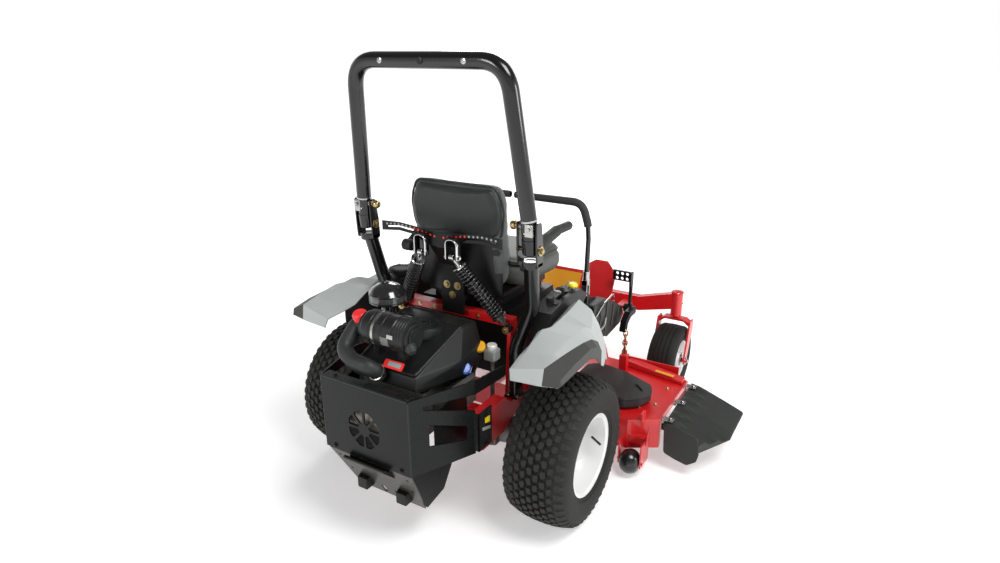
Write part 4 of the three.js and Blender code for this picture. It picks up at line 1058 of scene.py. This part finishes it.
def build_engine():
    piece("engine_casting", engine_block_detail(), ENGINE_CAST, "chassis", ["engine_block"])
    piece("engine_shroud", engine_shroud(), ENGINE_PLASTIC, "chassis", ["engine_cover"])
    piece("blower_grille", blower_grille(), BLACK_SATIN, "chassis")
    piece("air_filter_can", air_cleaner(), ENGINE_PLASTIC, "chassis", ["air_cleaner"])
    piece("air_filter_clamps", cleaner_clamps(), STEEL, "chassis")
    piece("air_filter_label", cleaner_label(), PALE_PLASTIC, "chassis")
    piece("dust_bowl", dome(), DOME_GLOSS, "chassis", ["precleaner"])
    piece("dust_bowl_band", dome_band(), DOME_BAND_PAINTED_HIGHLIGHT, "chassis")
    piece("air_hose", swept(hose_path(), 29.5, 32), HOSE, "chassis", ["intake_hose"])
    collar = [(29.5, 0), (33, 1), (33, 13), (29.5, 14)]
    piece("hose_clamps", joined(turned(collar, Vector((110, 405, 846)), X, 40),
                                turned(collar, Vector((12, 470, 699)), Vector((0, 0.69, 0.72)), 40)), STEEL, "chassis")
    piece("restriction_gauge", turned([(0, 0), (24, 0), (28, 4), (28, 26), (22, 34), (0, 36)],
                                      Vector((132, 412, 866)), Vector((0.05, 0.3, 1)), 32), RED_PLASTIC, "chassis")
    piece("dust_spout", dust_spout(), HOSE, "chassis")
    label = plate(rounded([(-44, -16), (44, -16), (44, 16), (-44, 16)], 5, True, 3), "y", -1.5, 1.5, 0.6)
    label.transform(COVER_LABEL_LIE)
    piece("cover_label_red", label, RED_PLASTIC, "chassis")
    patch = plate(rounded([(-34, -8), (24, -8), (24, 10), (-34, 10)], 3, True, 3), "y", 1.4, 2.1, 0.2)
    patch.transform(COVER_LABEL_LIE)
    piece("cover_label_pale", patch, PALE_PLASTIC, "chassis")
    for name, (bm, finish) in oil_parts().items():
        piece(name, bm, finish, "chassis")
    pair("oil_reservoir", reservoir, PALE_PLASTIC, "chassis")
    pair("oil_reservoir_cap", reservoir_cap, WHITE, "chassis")
    pair("drive_unit", transaxle, ENGINE_CAST, "chassis", ["transaxle"])
    piece("muffler_can", muffler(), MUFFLER, "chassis", ["muffler"])


# ---- operator platform ----
def foot_rest():
    """The sloping foot rest: two raised panels with clipped corners and a low middle."""
    bow = [(-300, 0), (-300, 190), (-274, 250), (-240, 284), (-172, 284), (-140, 262), (-118, 214), (118, 214),
           (140, 262), (172, 284), (240, 284), (274, 250), (300, 190), (300, 0)]
    sheet = plate(rounded(bow, 10, True, 4), "z", -6, 0, 1.5)
    sheet.transform(FOOT_REST_LIE)
    return sheet


def floor_pan():
    deck = box(-228, 228, -960, -474, 490, 497, 2)
    heel = box(-228, 228, -966, -950, 488, 500, 2)
    treads = [box(x - 3, x + 3, -930, -500, 496.5, 499, 1) for x in range(-200, 201, 40)]
    return joined(deck, heel, *treads)


def on_foot_rest(outline, lift, thick):
    """A thin panel lying on the foot rest's upper face."""
    sheet = plate(rounded(outline, 6, True, 3), "z", -6 - lift - thick, -6 - lift, 0.6)
    sheet.transform(FOOT_REST_LIE)
    return sheet


def tower_bolts():
    return bolts([(-26, 10.3, 905), (26, 10.3, 905), (0, 10.3, 862)], Y, 10)


def wing_dots(inner):
    """The row of dots along the bracket: red near the middle, pale towards the tips."""
    line = ((22, 1128), (130, 1148), (200, 1154), (270, 1148))
    dots = []
    for s in (1, -1):
        for k in range(13):
            x = 22 + 20 * k
            for (x0, z0), (x1, z1) in zip(line, line[1:]):
                if x0 <= x < x1:
                    z = z0 + (z1 - z0) * (x - x0) / (x1 - x0)
            if (k < 6) == inner:
                dots.append(turned([(0, 0), (4.4, 0), (4.4, 0.8), (0, 1.2)], Vector((s * x, 90, z)), Y, 12))
    return joined(*dots)


def clevis_pair():
    """The bright inverted U straps that carry the tops of the shocks."""
    straps = []
    for s in (1, -1):
        x = s * 76
        path = rounded([(x - 26, 112, 1054), (x - 26, 112, 1133), (x + 26, 112, 1133), (x + 26, 112, 1054)], 25,
                       steps=8)
        straps.append(swept(path, 3.6, 14, flat=2.6, up=Y))
        straps += [bolt((x + t * 29, 110, 1062), (t, 0, 0), 7) for t in (1, -1)]
    return joined(*straps)


def build_platform():
    piece("foot_rest_panels", foot_rest(), RED, "platform", ["platform_floor"])
    piece("floor_pan", floor_pan(), RED, "platform")
    panel = on_foot_rest([(-110, 84), (110, 84), (110, 196), (-110, 196)], 0.3, 1.2)
    piece("foot_rest_label", panel, ORANGE, "platform")
    piece("seat_base_tower", taken("seat_tower", 2.0), BLACK_PLATE, "platform", ["seat_tower"])
    piece("tower_bolts", tower_bolts(), ZINC, "platform")
    piece("shock_wing", taken("shock_bracket", 1.2), BLACK_SATIN, "platform", ["shock_bracket"])
    piece("wing_dots_red", wing_dots(True), RED_PLASTIC, "platform")
    piece("wing_dots_pale", wing_dots(False), PALE_PLASTIC, "platform")
    piece("shock_straps", clevis_pair(), CHROME, "platform")


# ---- seat ----
def seat_outline(half, low, high, corner):
    """The rounded rectangle of the seat back, in x and z."""
    return rounded([(-half * 0.94, low), (half * 0.94, low), (half, low + 120), (half * 0.97, high - 60),
                    (half * 0.86, high), (-half * 0.86, high), (-half * 0.97, high - 60), (-half, low + 120)],
                   corner, True, 6)


def remeshed(obj, size):
    modifier = obj.modifiers.new("remesh", "REMESH")
    modifier.mode = "VOXEL"
    modifier.voxel_size = size
    applied(obj)


def applied(obj):
    """Applies an object's modifiers to its mesh."""
    bpy.context.view_layer.update()
    graph = bpy.context.evaluated_depsgraph_get()
    mesh = bpy.data.meshes.new_from_object(obj.evaluated_get(graph))
    old = obj.data
    obj.modifiers.clear()
    obj.data = mesh
    bpy.data.meshes.remove(old)


def puffed(obj, cap, frames=20, pressure=4.0):
    """Fills a pad by a cloth simulation; no point moves further than cap metres."""
    remeshed(obj, 0.006)
    rest = [v.co.copy() for v in obj.data.vertices]
    cloth = obj.modifiers.new("cloth", "CLOTH")
    settings = cloth.settings
    settings.use_pressure = True
    settings.uniform_pressure_force = pressure
    settings.tension_stiffness = 40
    settings.compression_stiffness = 40
    settings.bending_stiffness = 4
    settings.effector_weights.gravity = 0
    cloth.point_cache.frame_start = 1
    cloth.point_cache.frame_end = frames
    for step in range(1, frames + 1):
        bpy.context.scene.frame_set(step)
    applied(obj)
    bpy.context.scene.frame_set(1)
    for vertex, start in zip(obj.data.vertices, rest):
        move = vertex.co - start
        if move.length > cap:
            vertex.co = start + move.normalized() * cap
    smooth = obj.modifiers.new("smooth", "SMOOTH")
    smooth.factor = 0.5
    smooth.iterations = 6
    fine = obj.modifiers.new("fine", "SUBSURF")
    fine.levels = 1
    fine.render_levels = 1
    applied(obj)
    obj.data.polygons.foreach_set("use_smooth", [True] * len(obj.data.polygons))


def pad(name, bm, material, body, replaces, cap):
    """A padded seat part: its blank, swollen by the simulation."""
    obj = piece(name, bm, material, body, replaces, sharp=180)
    puffed(obj, cap)
    obj.data.materials.clear()
    obj.data.materials.append(material)
    return obj


def back_pad_blank():
    """The front cushion of the seat back, leaning back a little towards its top."""
    rows = []
    for y, grow in ((-118, -34), (-104, -14), (-70, 0), (-44, -4)):
        line = seat_outline(232 + grow, 900 - grow * 0.4, 1332 + grow * 0.6, 92)
        rows.append([(x, y + (z - 900) * 0.055, z) for x, z in line])
    return rings(rows, closed_rows=False)


def back_cover_blank():
    """The upholstered rear of the seat back, a little smaller than the front so that its border shows."""
    rows = []
    for y, grow in ((-46, 0), (-30, -1), (-18, -8), (-12, -26)):
        line = seat_outline(219 + grow, 1106 - grow * 0.3, 1320 + grow, 82)
        rows.append([(x, y + (z - 1100) * 0.04, z) for x, z in line])
    return rings(rows, closed_rows=False)


def back_shell():
    """The moulded lower shell behind the seat, with soft upright folds."""
    rows = []
    for i in range(13):
        z = 1170 - 25 * i
        half = 214 - 10 * (i / 12) ** 2
        front, rear = [], []
        for k in range(25):
            t = 2 * k / 24 - 1
            fold = 3.0 * math.sin(9 * t + 0.4 * i) * (i / 12)
            rear.append((half * t, -10 - 34 * t ** 4 + fold + (z - 1000) * 0.02, z))
        for k in range(25):
            t = 1 - 2 * k / 24
            front.append((half * t, -50, z))
        rows.append(rear + front)
    return rings(rows, closed_rows=False)


def cushion_blank(half, front, rear, low, high, corner):
    rows = []
    outline = rounded([(-half, front), (half, front), (half * 0.98, rear), (-half * 0.98, rear)], corner, True, 6)
    middle = (front + rear) / 2
    for z, grow in ((low, 0.955), (low + 0.3 * (high - low), 1.0), (low + 0.75 * (high - low), 0.995), (high, 0.93)):
        rows.append([(x * grow, middle + (y - middle) * grow, z) for x, y in outline])
    return rings(rows, closed_rows=False)


def seat_piping():
    """The black welts: round the rear cover and round the cushion's upper panel."""
    back = [Vector((x, -38 + (z - 1100) * 0.045, z)) for x, z in seat_outline(224, 1104, 1324, 84)]
    top = [Vector((x, y, 984)) for x, y in rounded([(-250, -486), (250, -486), (244, -150), (-244, -150)], 60, True, 8)]
    return joined(swept(back, 4.6, 10, closed=True), swept(top, 4.4, 10, closed=True))


def seat_mount():
    return joined(taken("seat_pan", 2.0),
                  *[rod((s * 205, -84, 1010), (s * 300, -84, 1010), 11) for s in (1, -1)])


def armrest():
    """A padded arm: a rounded bar that rises from its pivot, thicker in the middle."""
    line = rounded([(-300, -78, 1006), (-300, -140, 1038), (-300, -250, 1084), (-300, -340, 1099), (-300, -446, 1096)],
                   60, steps=8)
    count = len(line)
    radii = []
    for i in range(count):
        t = i / (count - 1)
        radii.append(20 + 5 * math.sin(math.pi * min(1, t * 1.1)))
    body = swept(line, radii, 28, up=Z)
    nose = ball(line[-1], (radii[-1], radii[-1] * 0.9, radii[-1]), 24)
    heel = ball(line[0], (radii[0], radii[0], radii[0]), 24)
    disc = rod((-324, -84, 1010), (-276, -84, 1010), 25, sides=36, edge=4)
    return joined(body, nose, heel, disc)


def build_seat():
    pad("seat_back_cushion", back_pad_blank(), VINYL_PALE, "seat", ["seat_back"], 0.012)
    pad("seat_back_cover", back_cover_blank(), VINYL_DARK, "seat", [], 0.008)
    pad("seat_cushion_lower", cushion_blank(264, -514, -138, 890, 978, 80), CUSHION, "seat",
        ["seat_cushion"], 0.007)
    pad("seat_cushion_upper", cushion_blank(256, -500, -148, 964, 1000, 72), CUSHION, "seat", [],
        0.006)
    piece("seat_piping", seat_piping(), PIPING, "seat")
    piece("seat_back_shell", back_shell(), SEAT_SHELL, "seat", sharp=60)
    piece("seat_mount", seat_mount(), SEAT_SHELL, "seat", ["seat_pan"])
    for arm in pair("arm_pad", armrest, ARMREST, "armrest", ["armrest"], sharp=60):
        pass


# ---- shocks ----
SHOCK_LONG = (SHOCK_TOP - SHOCK_LOW).length
SPRING_FOOT = 76.0
SPRING_HEAD = SHOCK_LONG - 56.0


def along(distance):
    """The point this far up the shock from its lower eye."""
    return SHOCK_LOW + (SHOCK_TOP - SHOCK_LOW).normalized() * distance


def shock_body():
    eye = turned([(9, -9), (16, -9), (17, -8), (17, 8), (16, 9), (9, 9)], SHOCK_LOW, Y, 32)
    neck = rod(along(12), along(44), 9)
    bored = [(0, 40), (17, 40), (19, 42), (19, 253), (17, 255), (8, 255), (8, 215), (0, 215)]
    barrel = turned(bored, SHOCK_LOW, SHOCK_TOP - SHOCK_LOW, 32)
    seat = rod(along(60), along(72), 31, sides=40, edge=2)
    ring = rod(along(74), along(82), 24, sides=32)
    return joined(eye, neck, barrel, seat, ring)


def shock_rod():
    eye = turned([(8, -10), (13, -10), (14, -9), (14, 9), (13, 10), (8, 10)], SHOCK_TOP, X, 28)
    neck = rod(along(SHOCK_LONG - 44), along(SHOCK_LONG - 12), 11, 8)
    stem = rod(along(258), along(SHOCK_LONG - 40), 6.5)
    cap = rod(along(SHOCK_LONG - 52), along(SHOCK_LONG - 42), 31, sides=40, edge=2)
    return joined(eye, neck, stem, cap)


def shock_coil():
    """The coil spring, its end turns closed."""
    turns, steps = 15, 24
    way = (SHOCK_TOP - SHOCK_LOW).normalized()
    u, v = across(way)
    path = []
    count = turns * steps
    for k in range(count + 1):
        t = k / count
        eased = t - math.sin(2 * math.pi * t) * 0.035
        turn = 2 * math.pi * k / steps
        middle = along(SPRING_FOOT + (SPRING_HEAD - SPRING_FOOT) * eased)
        path.append(middle + (u * math.cos(turn) + v * math.sin(turn)) * 25.5)
    return swept(path, 4.6, 10)


def build_shocks():
    pair("shock_damper", shock_body, SPRING, "shock_body", ["shock_body"])
    pair("shock_stem", shock_rod, CHROME, "shock_rod", ["shock_rod"])
    coils = pair("shock_coil", shock_coil, SPRING, "shock_body", ["shock_spring"], sharp=60)
    for coil, side in zip(coils, (1, -1)):
        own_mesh(coil)


# ---- levers, pedal ----
def control_shaft():
    hub = rod((-400, -480, 640), (-360, -480, 640), 22, sides=36, edge=2)
    bar = box(-392, -368, -485, -475, 650, 806, 2)
    pin = rod((-380, -502, 790), (-380, -458, 790), 6)
    link = joined(bolt((-400, -480, 640), -X, 10), box(-390, -370, -486, -474, 700, 730, 2))
    return joined(hub, bar, pin, link)


def lap_socket():
    cheeks = [box(-393, -367, -480 + s * 13 - 4, -480 + s * 13 + 4, 778, 852, 2) for s in (1, -1)]
    return joined(*cheeks, box(-393, -367, -497, -463, 824, 852, 3), rod((-380, -480, 848), (-380, -481, 890), 15))


LAP_PATH = [(-380, -480, 845), (-380, -488, 1035), (-380, -476, 1105), (-348, -480, 1196), (-12, -480, 1196)]


def lap_tube():
    line = rounded(LAP_PATH, 70, steps=10)
    return swept(line, 11, 24)


def lap_grip():
    """The foam sleeve over the upper run and the corner."""
    line = [p for p in rounded(LAP_PATH, 70, steps=10) if p.z > 1096]
    ends = [line[0], line[0].lerp(line[1], 0.2)]
    path = ends + line[1:]
    radii = [15.5, 17.5] + [17.5] * (len(path) - 4) + [17.5, 15.5]
    path = path[:-1] + [path[-1] + Vector((-6, 0, 0)), path[-1]]
    radii.append(14)
    return swept(path, radii, 28)


def pedal():
    holes = []
    for i in range(3):
        for j in range(2):
            x, z = -386 + 27 * i, 704 + 26 * j
            holes.append(circle(x, z, 8, 16))
    outline = rounded([(-410, 690), (-308, 690), (-308, 746), (-410, 746)], 9, True, 4)
    foot = plate(outline, "y", -993, -985, 1.5, holes)
    lip = box(-409, -309, -990, -974, 741, 747, 1.5)
    post = box(-418, -404, -993, -973, 552, 692, 2)
    rib = box(-419, -408, -993, -959, 676, 748, 2)
    arm_line = [(-979, 572), (-895, 566), (-845, 532), (-827, 474), (-859, 472), (-873, 512), (-909, 534), (-977, 534)]
    arm = plate(rounded(arm_line, 16, True, 5), "x", -450, -417, 4)
    boss = turned([(10.5, -17), (22, -17), (24, -15), (24, 20), (22, 22), (10.5, 22)], Vector((-405, -985, 550)), X, 36)
    return joined(foot, lip, post, rib, arm, boss)


def build_controls():
    pair("control_arm", control_shaft, BLACK_PLATE, "control_shaft", ["control_shaft"])
    pair("lap_bar_socket", lap_socket, STEEL, "lap_bar", ["lap_bar"])
    pair("lap_bar_tube", lap_tube, BLACK_GLOSS, "lap_bar")
    pair("lap_bar_grip", lap_grip, FOAM, "lap_bar")
    piece("deck_lift_pedal", pedal(), BLACK_SATIN, "lift_pedal", ["lift_pedal"])


# ---- deck ----
def deck_rails():
    """Raised channels, gussets and the baffle behind the discharge side."""
    channel = hull([(-440, -985, 246), (-440, -925, 246), (-748, -930, 246), (-748, -870, 246), (-440, -985, 280),
                    (-440, -925, 280), (-748, -930, 262), (-748, -870, 262)], 4)
    rear = box(480, 640, -470, -440, 244, 262, 3)
    gussets = [hull([(x, -424, 240), (x, -424, 150), (x, -402, 150), (x + 5, -424, 240), (x + 5, -424, 150),
                     (x + 5, -402, 150)], 1) for x in (-740, -600, -560, 560, 600, 740)]
    posts = [box(x - 6, x + 6, -470, -430, 244, 288, 2) for x in (-700, 700)]
    return joined(channel, rear, *gussets, *posts)


def deck_bolts():
    studs = bolts([(-700, -620, 244.3), (-700, -800, 244.3), (-640, -560, 244.3), (700, -620, 244.3),
                   (300, -500, 244.3), (-300, -940, 244.3), (120, -1090, 244.3), (-120, -1090, 244.3)], Z, 7)
    rims = []
    for spot in SPINDLES:
        for k in range(6):
            turn = k * math.pi / 3
            rims.append(bolt((spot.x + 66 * math.cos(turn), spot.y + 66 * math.sin(turn), 244.2), Z, 5))
    return joined(studs, *rims)


def belt_cover():
    """The moulded belt cover: a wide blade with a rounded outer end over a lower disc."""
    line = rounded([(-300, -610), (-350, -530), (-460, -490), (-590, -478), (-655, -530), (-684, -610), (-655, -680),
                    (-500, -750), (-360, -775), (-300, -740)], 50, True, 7)
    slot = rounded([(-640, -600), (-596, -648), (-584, -637), (-628, -589)], 4, True, 3)
    top = plate(line, "z", 296, 310, 5, [slot])
    skirt = plate([(x * 0.985 - 7, y * 0.985 - 9) for x, y in line], "z", 262, 300, 4)
    disc = turned([(0, 246), (136, 246), (142, 250), (142, 264), (136, 270), (0, 270)], Vector((-512, -622, 0)), Z, 64)
    knob = turned([(0, 308), (16, 308), (18, 311), (18, 320), (13, 324), (0, 325)], Vector((-400, -600, 0)), Z, 24)
    return joined(top, skirt, disc, knob)


def chain_links():
    """Five oval links from the deck's lug up to the pedal arm."""
    links = []
    for k in range(5):
        z = 366 + 26 * k
        turn = math.radians(90 * (k % 2) + 30)
        side = Vector((math.cos(turn), math.sin(turn), 0))
        oval = []
        for i in range(20):
            t = 2 * math.pi * i / 20
            oval.append(Vector((-451, -840, z)) + side * 10.5 * math.cos(t) + Z * 17.5 * math.sin(t))
        links.append(swept(oval, 3.7, 10, closed=True))
    return joined(*links)


def chute():
    """The flexible discharge chute: a curved roof with moulded ribs and a rounded rear wall."""
    hinge_x, z = CHUTE_HINGE
    across_line = [(-8, 3), (-20, 1), (-34, -1), (-50, -4), (-66, -9), (-82, -14), (-100, -21), (-135, -34),
                   (-180, -50), (-225, -67), (-262, -82), (-270, -90)]
    length = 72
    bm = bmesh.new()
    rows = []
    for k in range(length + 1):
        y = -925 + (925 - 482) * k / length
        row = []
        for u, v in across_line:
            ridge = 0.0
            if -100 < u < -8:
                near = math.sin(math.pi * (u + 100) / 92)
                ridge = 9.0 * near * max(0.0, math.sin(2 * math.pi * (y + 925) / 74)) ** 2
            clip = max(0.0, (y + 700) / 220)
            reach = u if y < -700 else max(u, -296 + 130 * clip * 0.97)
            row.append(bm.verts.new((hinge_x - 4 + reach, y, z + v + ridge - (0 if y < -700 else 10 * clip))))
        rows.append(row)
    for a, b in zip(rows, rows[1:]):
        for i in range(len(a) - 1):
            bm.faces.new((a[i], a[i + 1], b[i + 1], b[i]))
    bmesh.ops.recalc_face_normals(bm, faces=bm.faces)
    if sum(f.normal.z for f in bm.faces) < 0:
        bmesh.ops.reverse_faces(bm, faces=bm.faces)
    bmesh.ops.solidify(bm, geom=list(bm.faces), thickness=7)
    tail = [(-14 + hinge_x, 242), (hinge_x - 70, 240), (hinge_x - 170, 208), (hinge_x - 180, 130),
            (hinge_x - 172, 92), (hinge_x - 132, 62), (hinge_x - 76, 74), (hinge_x - 22, 92)]
    wall = plate(rounded(tail, 22, True, 6), "y", -492, -482, 3)
    return joined(bm, wall)


def chute_hinge():
    rods = [rod((-774, y - 22, 238), (-774, y + 22, 238), 7) for y in (-880, -700, -520)]
    leaves = [box(-818, -776, y - 18, y + 18, 243, 247, 1) for y in (-880, -700, -520)]
    heads = [bolt((-804, y, 247), Z, 8) for y in (-880, -700, -520)]
    return joined(*rods, *leaves, *heads)


def roller():
    half = [(8.5, 44), (22, 44), (34, 40), (45, 32), (52, 20), (56, 8)]
    profile = half + [(57, 0)] + [(r, -a) for r, a in reversed(half)]
    return turned(profile, Vector((-680, -372, 72)), X, 48)


def build_deck():
    piece("deck_weldment", taken("deck_shell", 2.5), RED, "deck", ["deck_shell"])
    piece("deck_channels", deck_rails(), RED, "deck")
    piece("deck_bolts", deck_bolts(), ZINC, "deck")
    piece("deck_label", plate(rounded([(-700, -902), (-600, -919), (-600, -895), (-700, -878)], 3, True, 3), "z",
                              271, 272.4, 0.5), ORANGE, "deck")
    pair("drive_belt_cover", belt_cover, HOSE, "deck", ["belt_cover"])
    piece("lift_chain", chain_links(), ZINC, "deck")
    piece("chute_flap", chute(), CHUTE, "discharge_chute", ["discharge_chute"], sharp=50)
    piece("chute_hinge", chute_hinge(), STEEL, "discharge_chute")
    for name in ("blade_c", "blade_l", "blade_r"):
        piece(f"{name}_steel", taken(name, 1.2), BLADE_STEEL, name, [name])
    pair("scalp_roller", roller, ROLLER, "roller", ["roller"], sharp=60)


build_wheels()
build_frame()
build_guard()
build_rops()
build_fenders()
build_engine()
build_platform()
build_seat()
build_shocks()
build_controls()
build_deck()


# ---- floor, light and camera ----
def white_floor():
    """A wide floor whose own glow rises with the distance from the mower."""
    mesh = bpy.data.meshes.new("floor")
    bm = bmesh.new()
    bmesh.ops.create_grid(bm, x_segments=1, y_segments=1, size=60)
    bm.to_mesh(mesh)
    bm.free()
    floor = linked("floor", mesh)
    paint = bpy.data.materials.new("floor_white")
    paint.use_nodes = True
    tree = paint.node_tree
    add = adder(tree)
    away = add("ShaderNodeVectorMath", "Value", {0: add("ShaderNodeTexCoord", "Object", {})}, "LENGTH")
    glow = add("ShaderNodeMapRange", "Result", {
        "From Min": 1.0, "From Max": 4.0, "To Min": 0.38, "To Max": 1.0, "Value": away})
    wired(tree, tree.nodes["Principled BSDF"], {
        "Base Color": (0.8, 0.8, 0.8, 1), "Roughness": 0.95, "Specular IOR Level": 0.0,
        "Emission Color": (1, 1, 1, 1), "Emission Strength": glow})
    mesh.materials.append(paint)


def studio_world():
    """White from below up to a little over the horizon, grey above, and brighter in one fixed direction."""
    world = bpy.data.worlds.new("studio")
    world.use_nodes = True
    tree = world.node_tree
    add = adder(tree)
    place = add("ShaderNodeTexCoord", "Generated", {})
    split = add("ShaderNodeSeparateXYZ", "Z", {"Vector": place})
    height = add("ShaderNodeMapRange", "Result", {"From Min": -1, "Value": split})
    ramp = tree.nodes.new("ShaderNodeValToRGB")
    ramp.color_ramp.elements[0].position = 0.63
    ramp.color_ramp.elements[0].color = (1, 1, 1, 1)
    ramp.color_ramp.elements[1].position = 0.72
    ramp.color_ramp.elements[1].color = (0.20, 0.20, 0.20, 1)
    wired(tree, ramp, {"Fac": height})
    ahead = add("ShaderNodeVectorMath", "Value", {1: (0.517, -0.856, 0), 0: place}, "DOT_PRODUCT")
    wall = add("ShaderNodeMapRange", "Result", {"From Min": 0.3, "From Max": 0.65, "To Min": 0.72, "Value": ahead})
    wired(tree, tree.nodes["Background"], {"Color": ramp.outputs["Color"], "Strength": wall})
    bpy.context.scene.world = world
    bpy.context.scene.view_settings.view_transform = "Standard"


def lamps():
    """Four soft area lights, aimed at the middle of the mower."""
    aim = Vector((0, 0, 0.7))
    for name, place, size, power in (
            ("key", (-2.4, 1.2, 4.4), 1.8, 150), ("rear", (1.4, 4.4, 3.0), 1.2, 60),
            ("right", (-5.0, -1.2, 2.2), 1.6, 90), ("front", (2.4, -4.2, 3.8), 2.2, 95)):
        lamp = bpy.data.lights.new(name, "AREA")
        lamp.size = size
        lamp.energy = power
        lamp_obj = linked(name, lamp)
        lamp_obj.location = place
        lamp_obj.rotation_mode = "QUATERNION"
        lamp_obj.rotation_quaternion = (aim - Vector(place)).to_track_quat("-Z", "Y")


def camera():
    """The camera stands behind the mower on its right, a little above the seat."""
    azimuth, elevation = math.radians(211.16), math.radians(19.39)
    back = Vector((math.sin(azimuth) * math.cos(elevation), -math.cos(azimuth) * math.cos(elevation),
                   math.sin(elevation)))
    lens = bpy.data.cameras.new("camera")
    lens.sensor_width = 36
    lens.lens = 23.73
    lens.shift_x = -0.0053
    lens.shift_y = 0.0017
    view = linked("camera", lens)
    view.location = PLACE @ CAMERA_EYE
    view.rotation_mode = "QUATERNION"
    view.rotation_quaternion = (-back).to_track_quat("-Z", "Y")
    bpy.context.scene.camera = view


white_floor()
studio_world()
lamps()
camera()
